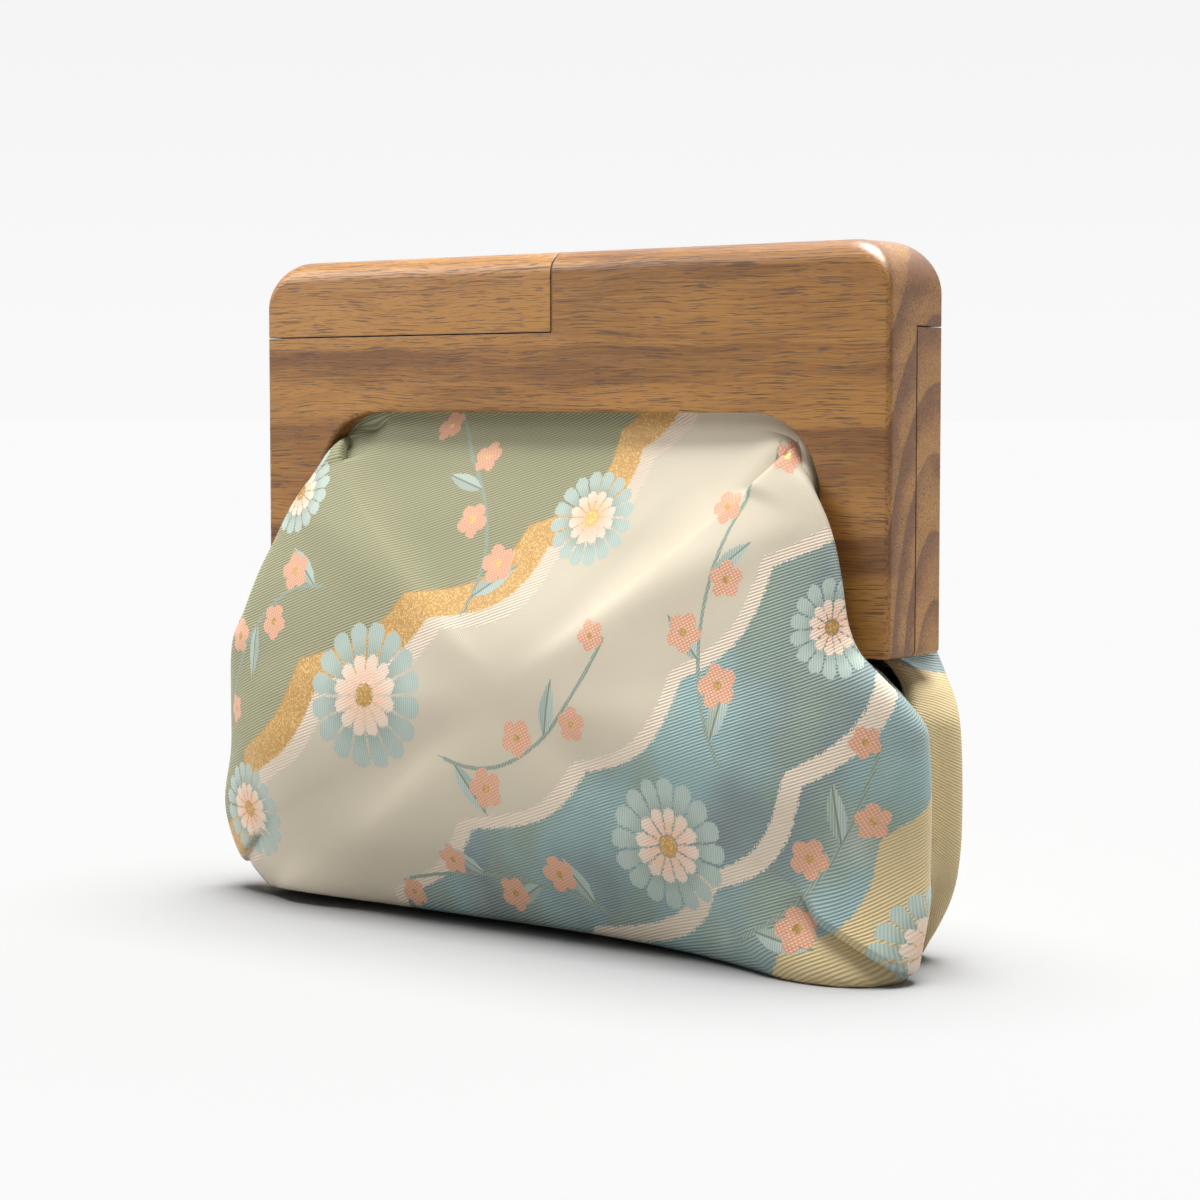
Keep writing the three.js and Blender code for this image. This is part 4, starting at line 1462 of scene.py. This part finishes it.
# %% A tree that sews
def stitch_tree():
    """Stitches along a line of edges, with their sizes as inputs."""
    tree = bpy.data.node_groups.new("running_stitch", "GeometryNodeTree")
    tree.interface.new_socket("Geometry", in_out="OUTPUT", socket_type="NodeSocketGeometry")
    tree.interface.new_socket("Line", in_out="INPUT", socket_type="NodeSocketGeometry")
    for name in ("Pitch", "Length", "Width"):
        tree.interface.new_socket(name, in_out="INPUT", socket_type="NodeSocketFloat")

    def add(kind, **values):
        node = tree.nodes.new(kind)
        for name, value in values.items():
            setattr(node, name, value)
        return node

    def link(source, output, target, socket):
        tree.links.new(source.outputs[output], target.inputs[socket])

    given = add("NodeGroupInput")
    curve = add("GeometryNodeMeshToCurve")
    points = add("GeometryNodeCurveToPoints", mode="LENGTH")
    ball = add("GeometryNodeMeshUVSphere")
    ball.inputs["Segments"].default_value, ball.inputs["Rings"].default_value = 6, 5
    ball.inputs["Radius"].default_value = 0.5
    size = add("ShaderNodeCombineXYZ")
    sewn = add("GeometryNodeInstanceOnPoints")
    real = add("GeometryNodeRealizeInstances")
    dyed = add("GeometryNodeSetMaterial")
    dyed.inputs["Material"].default_value = thread_finish.material
    link(given, "Line", curve, "Mesh")
    link(curve, 0, points, "Curve")
    link(given, "Pitch", points, "Length")
    for axis, name in (("X", "Width"), ("Y", "Width"), ("Z", "Length")):
        link(given, name, size, axis)
    link(points, "Points", sewn, "Points")
    link(points, "Rotation", sewn, "Rotation")
    link(ball, "Mesh", sewn, "Instance")
    link(size, 0, sewn, "Scale")
    link(sewn, 0, real, 0)
    link(real, 0, dyed, 0)
    link(dyed, 0, add("NodeGroupOutput"), "Geometry")
    return tree


sewing = seam_thread.modifiers.new("sewing", "NODES")
sewing.node_group = stitch_tree()
stitch_sizes = {"Pitch": STITCH_PITCH, "Length": STITCH_LENGTH, "Width": STITCH_WIDTH}
for socket in sewing.node_group.interface.items_tree:
    if socket.name in stitch_sizes:
        sewing[socket.identifier] = stitch_sizes[socket.name]
settle(seam_thread)
seam_thread.data.shade_smooth()
print(size_text(seam_thread))

# %% [markdown]
# ## The hinge pins
# A short steel pin in each leg lets the halves of the frame swing apart. The pins keep the shape they
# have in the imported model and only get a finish: fine lines run round them, as turning leaves them.

# %% Pin finish
TURNING_SCALE = 9000.0
steel = Finish("pin_steel_finish")
pin_x, _, _ = steel.node("ShaderNodeTexCoord", {}, {}, "Object").parts()
turned = steel.noise(steel.join(pin_x, 0.0, 0.0), TURNING_SCALE, 2.0)
steel.surface(Base_Color=steel.blend(turned, colour(150, 150, 152), colour(196, 196, 198)))
steel.surface(Roughness=0.26 + turned * 0.14, Metallic=1.0)
for name in ("hinge_pin_left", "hinge_pin_right"):
    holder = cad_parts[name].material_slots[0]
    holder.link = "OBJECT"
    holder.material = steel.material
    print(name, "in turned steel")

# %% [markdown]
# ## Light, floor and camera
# The bag stands on a pale floor that runs far behind it, in the light of a studio tent that is dim in
# front and bright behind. One broad lamp high up and a little behind lights the floor and the top edges,
# and leaves a soft shadow. A window at the left front gives the wood its highlight. It is linked to the
# bag alone, so that it doesn't wash that shadow out. The camera stands low and to the right, and looks
# slightly down. It sees a plain pale backdrop in place of the tent.

# %% Floor and backdrop
FLOOR_SIZE = 40.0
BACKDROP_FADE = 0.15
FRONT_OF_TENT = 0.14
BACK_OF_TENT = 0.85
corner_signs = ((-1, -1), (1, -1), (1, 1), (-1, 1))
floor = new_piece("floor", [(x * FLOOR_SIZE, y * FLOOR_SIZE, 0.0) for x, y in corner_signs], [(0, 1, 2, 3)])
pale_floor = Finish("pale_floor")
pale_floor.surface(Base_Color=grey(155), Roughness=0.8, Specular_IOR_Level=0.0)
floor.data.materials.append(pale_floor.material)

world = bpy.data.worlds.new("studio")
world.use_nodes = True
sky = Finish.of_tree(world.node_tree, "Background")
_, behind, rise = sky.node("ShaderNodeTexCoord", {}, {}, "Generated").parts()
backdrop = sky.blend(rise.step(0.0, BACKDROP_FADE), grey(249), grey(245))
seen = sky.node("ShaderNodeBackground", {}, {"Color": backdrop})
dim, bright = ((v, v, v, 1.0) for v in (FRONT_OF_TENT, BACK_OF_TENT))
sky.surface(Color=sky.blend(behind.step(0.2, 0.9), dim, bright), Strength=1.0)
direct = sky.node("ShaderNodeLightPath", {}, {}, "Is Camera Ray")
tent = Wire(sky, sky.shader.outputs[0])
both = sky.node("ShaderNodeMixShader", {}, {0: direct, 1: tent, 2: seen})
sky.feed(sky.tree.nodes["World Output"].inputs["Surface"], both)
bpy.context.scene.world = world
print("backdrop fades over the first", BACKDROP_FADE, "of the height of the sky")

# %% Lamps
TOP_HEIGHT = 85
TOP_SPREAD = 46
TOP_POWER = 8.4
WINDOW_PLACE = Vector((-0.75, -0.5, 0.6))
WINDOW_SIZE = 0.6
WINDOW_POWER = 6.0
top = bpy.data.lights.new("top", "SUN")
top.angle = math.radians(TOP_SPREAD)
top.energy = TOP_POWER
show("top", top).rotation_euler = (math.radians(90 - TOP_HEIGHT), 0, math.pi)
window = bpy.data.lights.new("window", "AREA")
window.size = WINDOW_SIZE
window.energy = WINDOW_POWER
stand = show("window", window)
stand.location = WINDOW_PLACE
stand.rotation_euler = (MIDDLE - WINDOW_PLACE).to_track_quat("-Z", "Y").to_euler()
lit_pieces = bpy.data.collections.new("lit_by_the_window")
for piece in (frame_front, frame_back, cloth_front, cloth_back, seam_thread):
    lit_pieces.objects.link(piece)
stand.light_linking.receiver_collection = lit_pieces
bpy.context.scene.view_settings.view_transform = "Standard"

# %% Camera
IMAGE_WIDTH = 1200
FOCAL_PIXELS = 2773
SENSOR_WIDTH = 36.0
CAMERA_FROM_MIDDLE = Vector(mm(559.1, -707.4, 167.3))
CAMERA_TURN = 37.92
CAMERA_DIP = 3.91
view = bpy.data.cameras.new("camera")
view.sensor_width = SENSOR_WIDTH
view.lens = FOCAL_PIXELS / IMAGE_WIDTH * SENSOR_WIDTH
camera = show("camera", view)
camera.location = MIDDLE + CAMERA_FROM_MIDDLE
camera.rotation_euler = (math.radians(90 - CAMERA_DIP), 0, math.radians(CAMERA_TURN))
bpy.context.scene.camera = camera
print(f"lens {view.lens:.1f} mm, {camera.location.length:.2f} m away")

# %% [markdown]
# ## Attaching the pieces to the body
# Every piece rides on the one body of the bag, and stands for the plain solid that it replaces, which is
# hidden.

# %% Ride and replace
for piece, node, slot in (
    (frame_front, "frame_front", "frame_wood"),
    (frame_back, "frame_back", "frame_wood"),
    (cloth_front, "panel_front", "brocade"),
    (cloth_back, "panel_back", "brocade"),
):
    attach(piece, "root")
    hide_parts(node)
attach(seam_thread, "root")
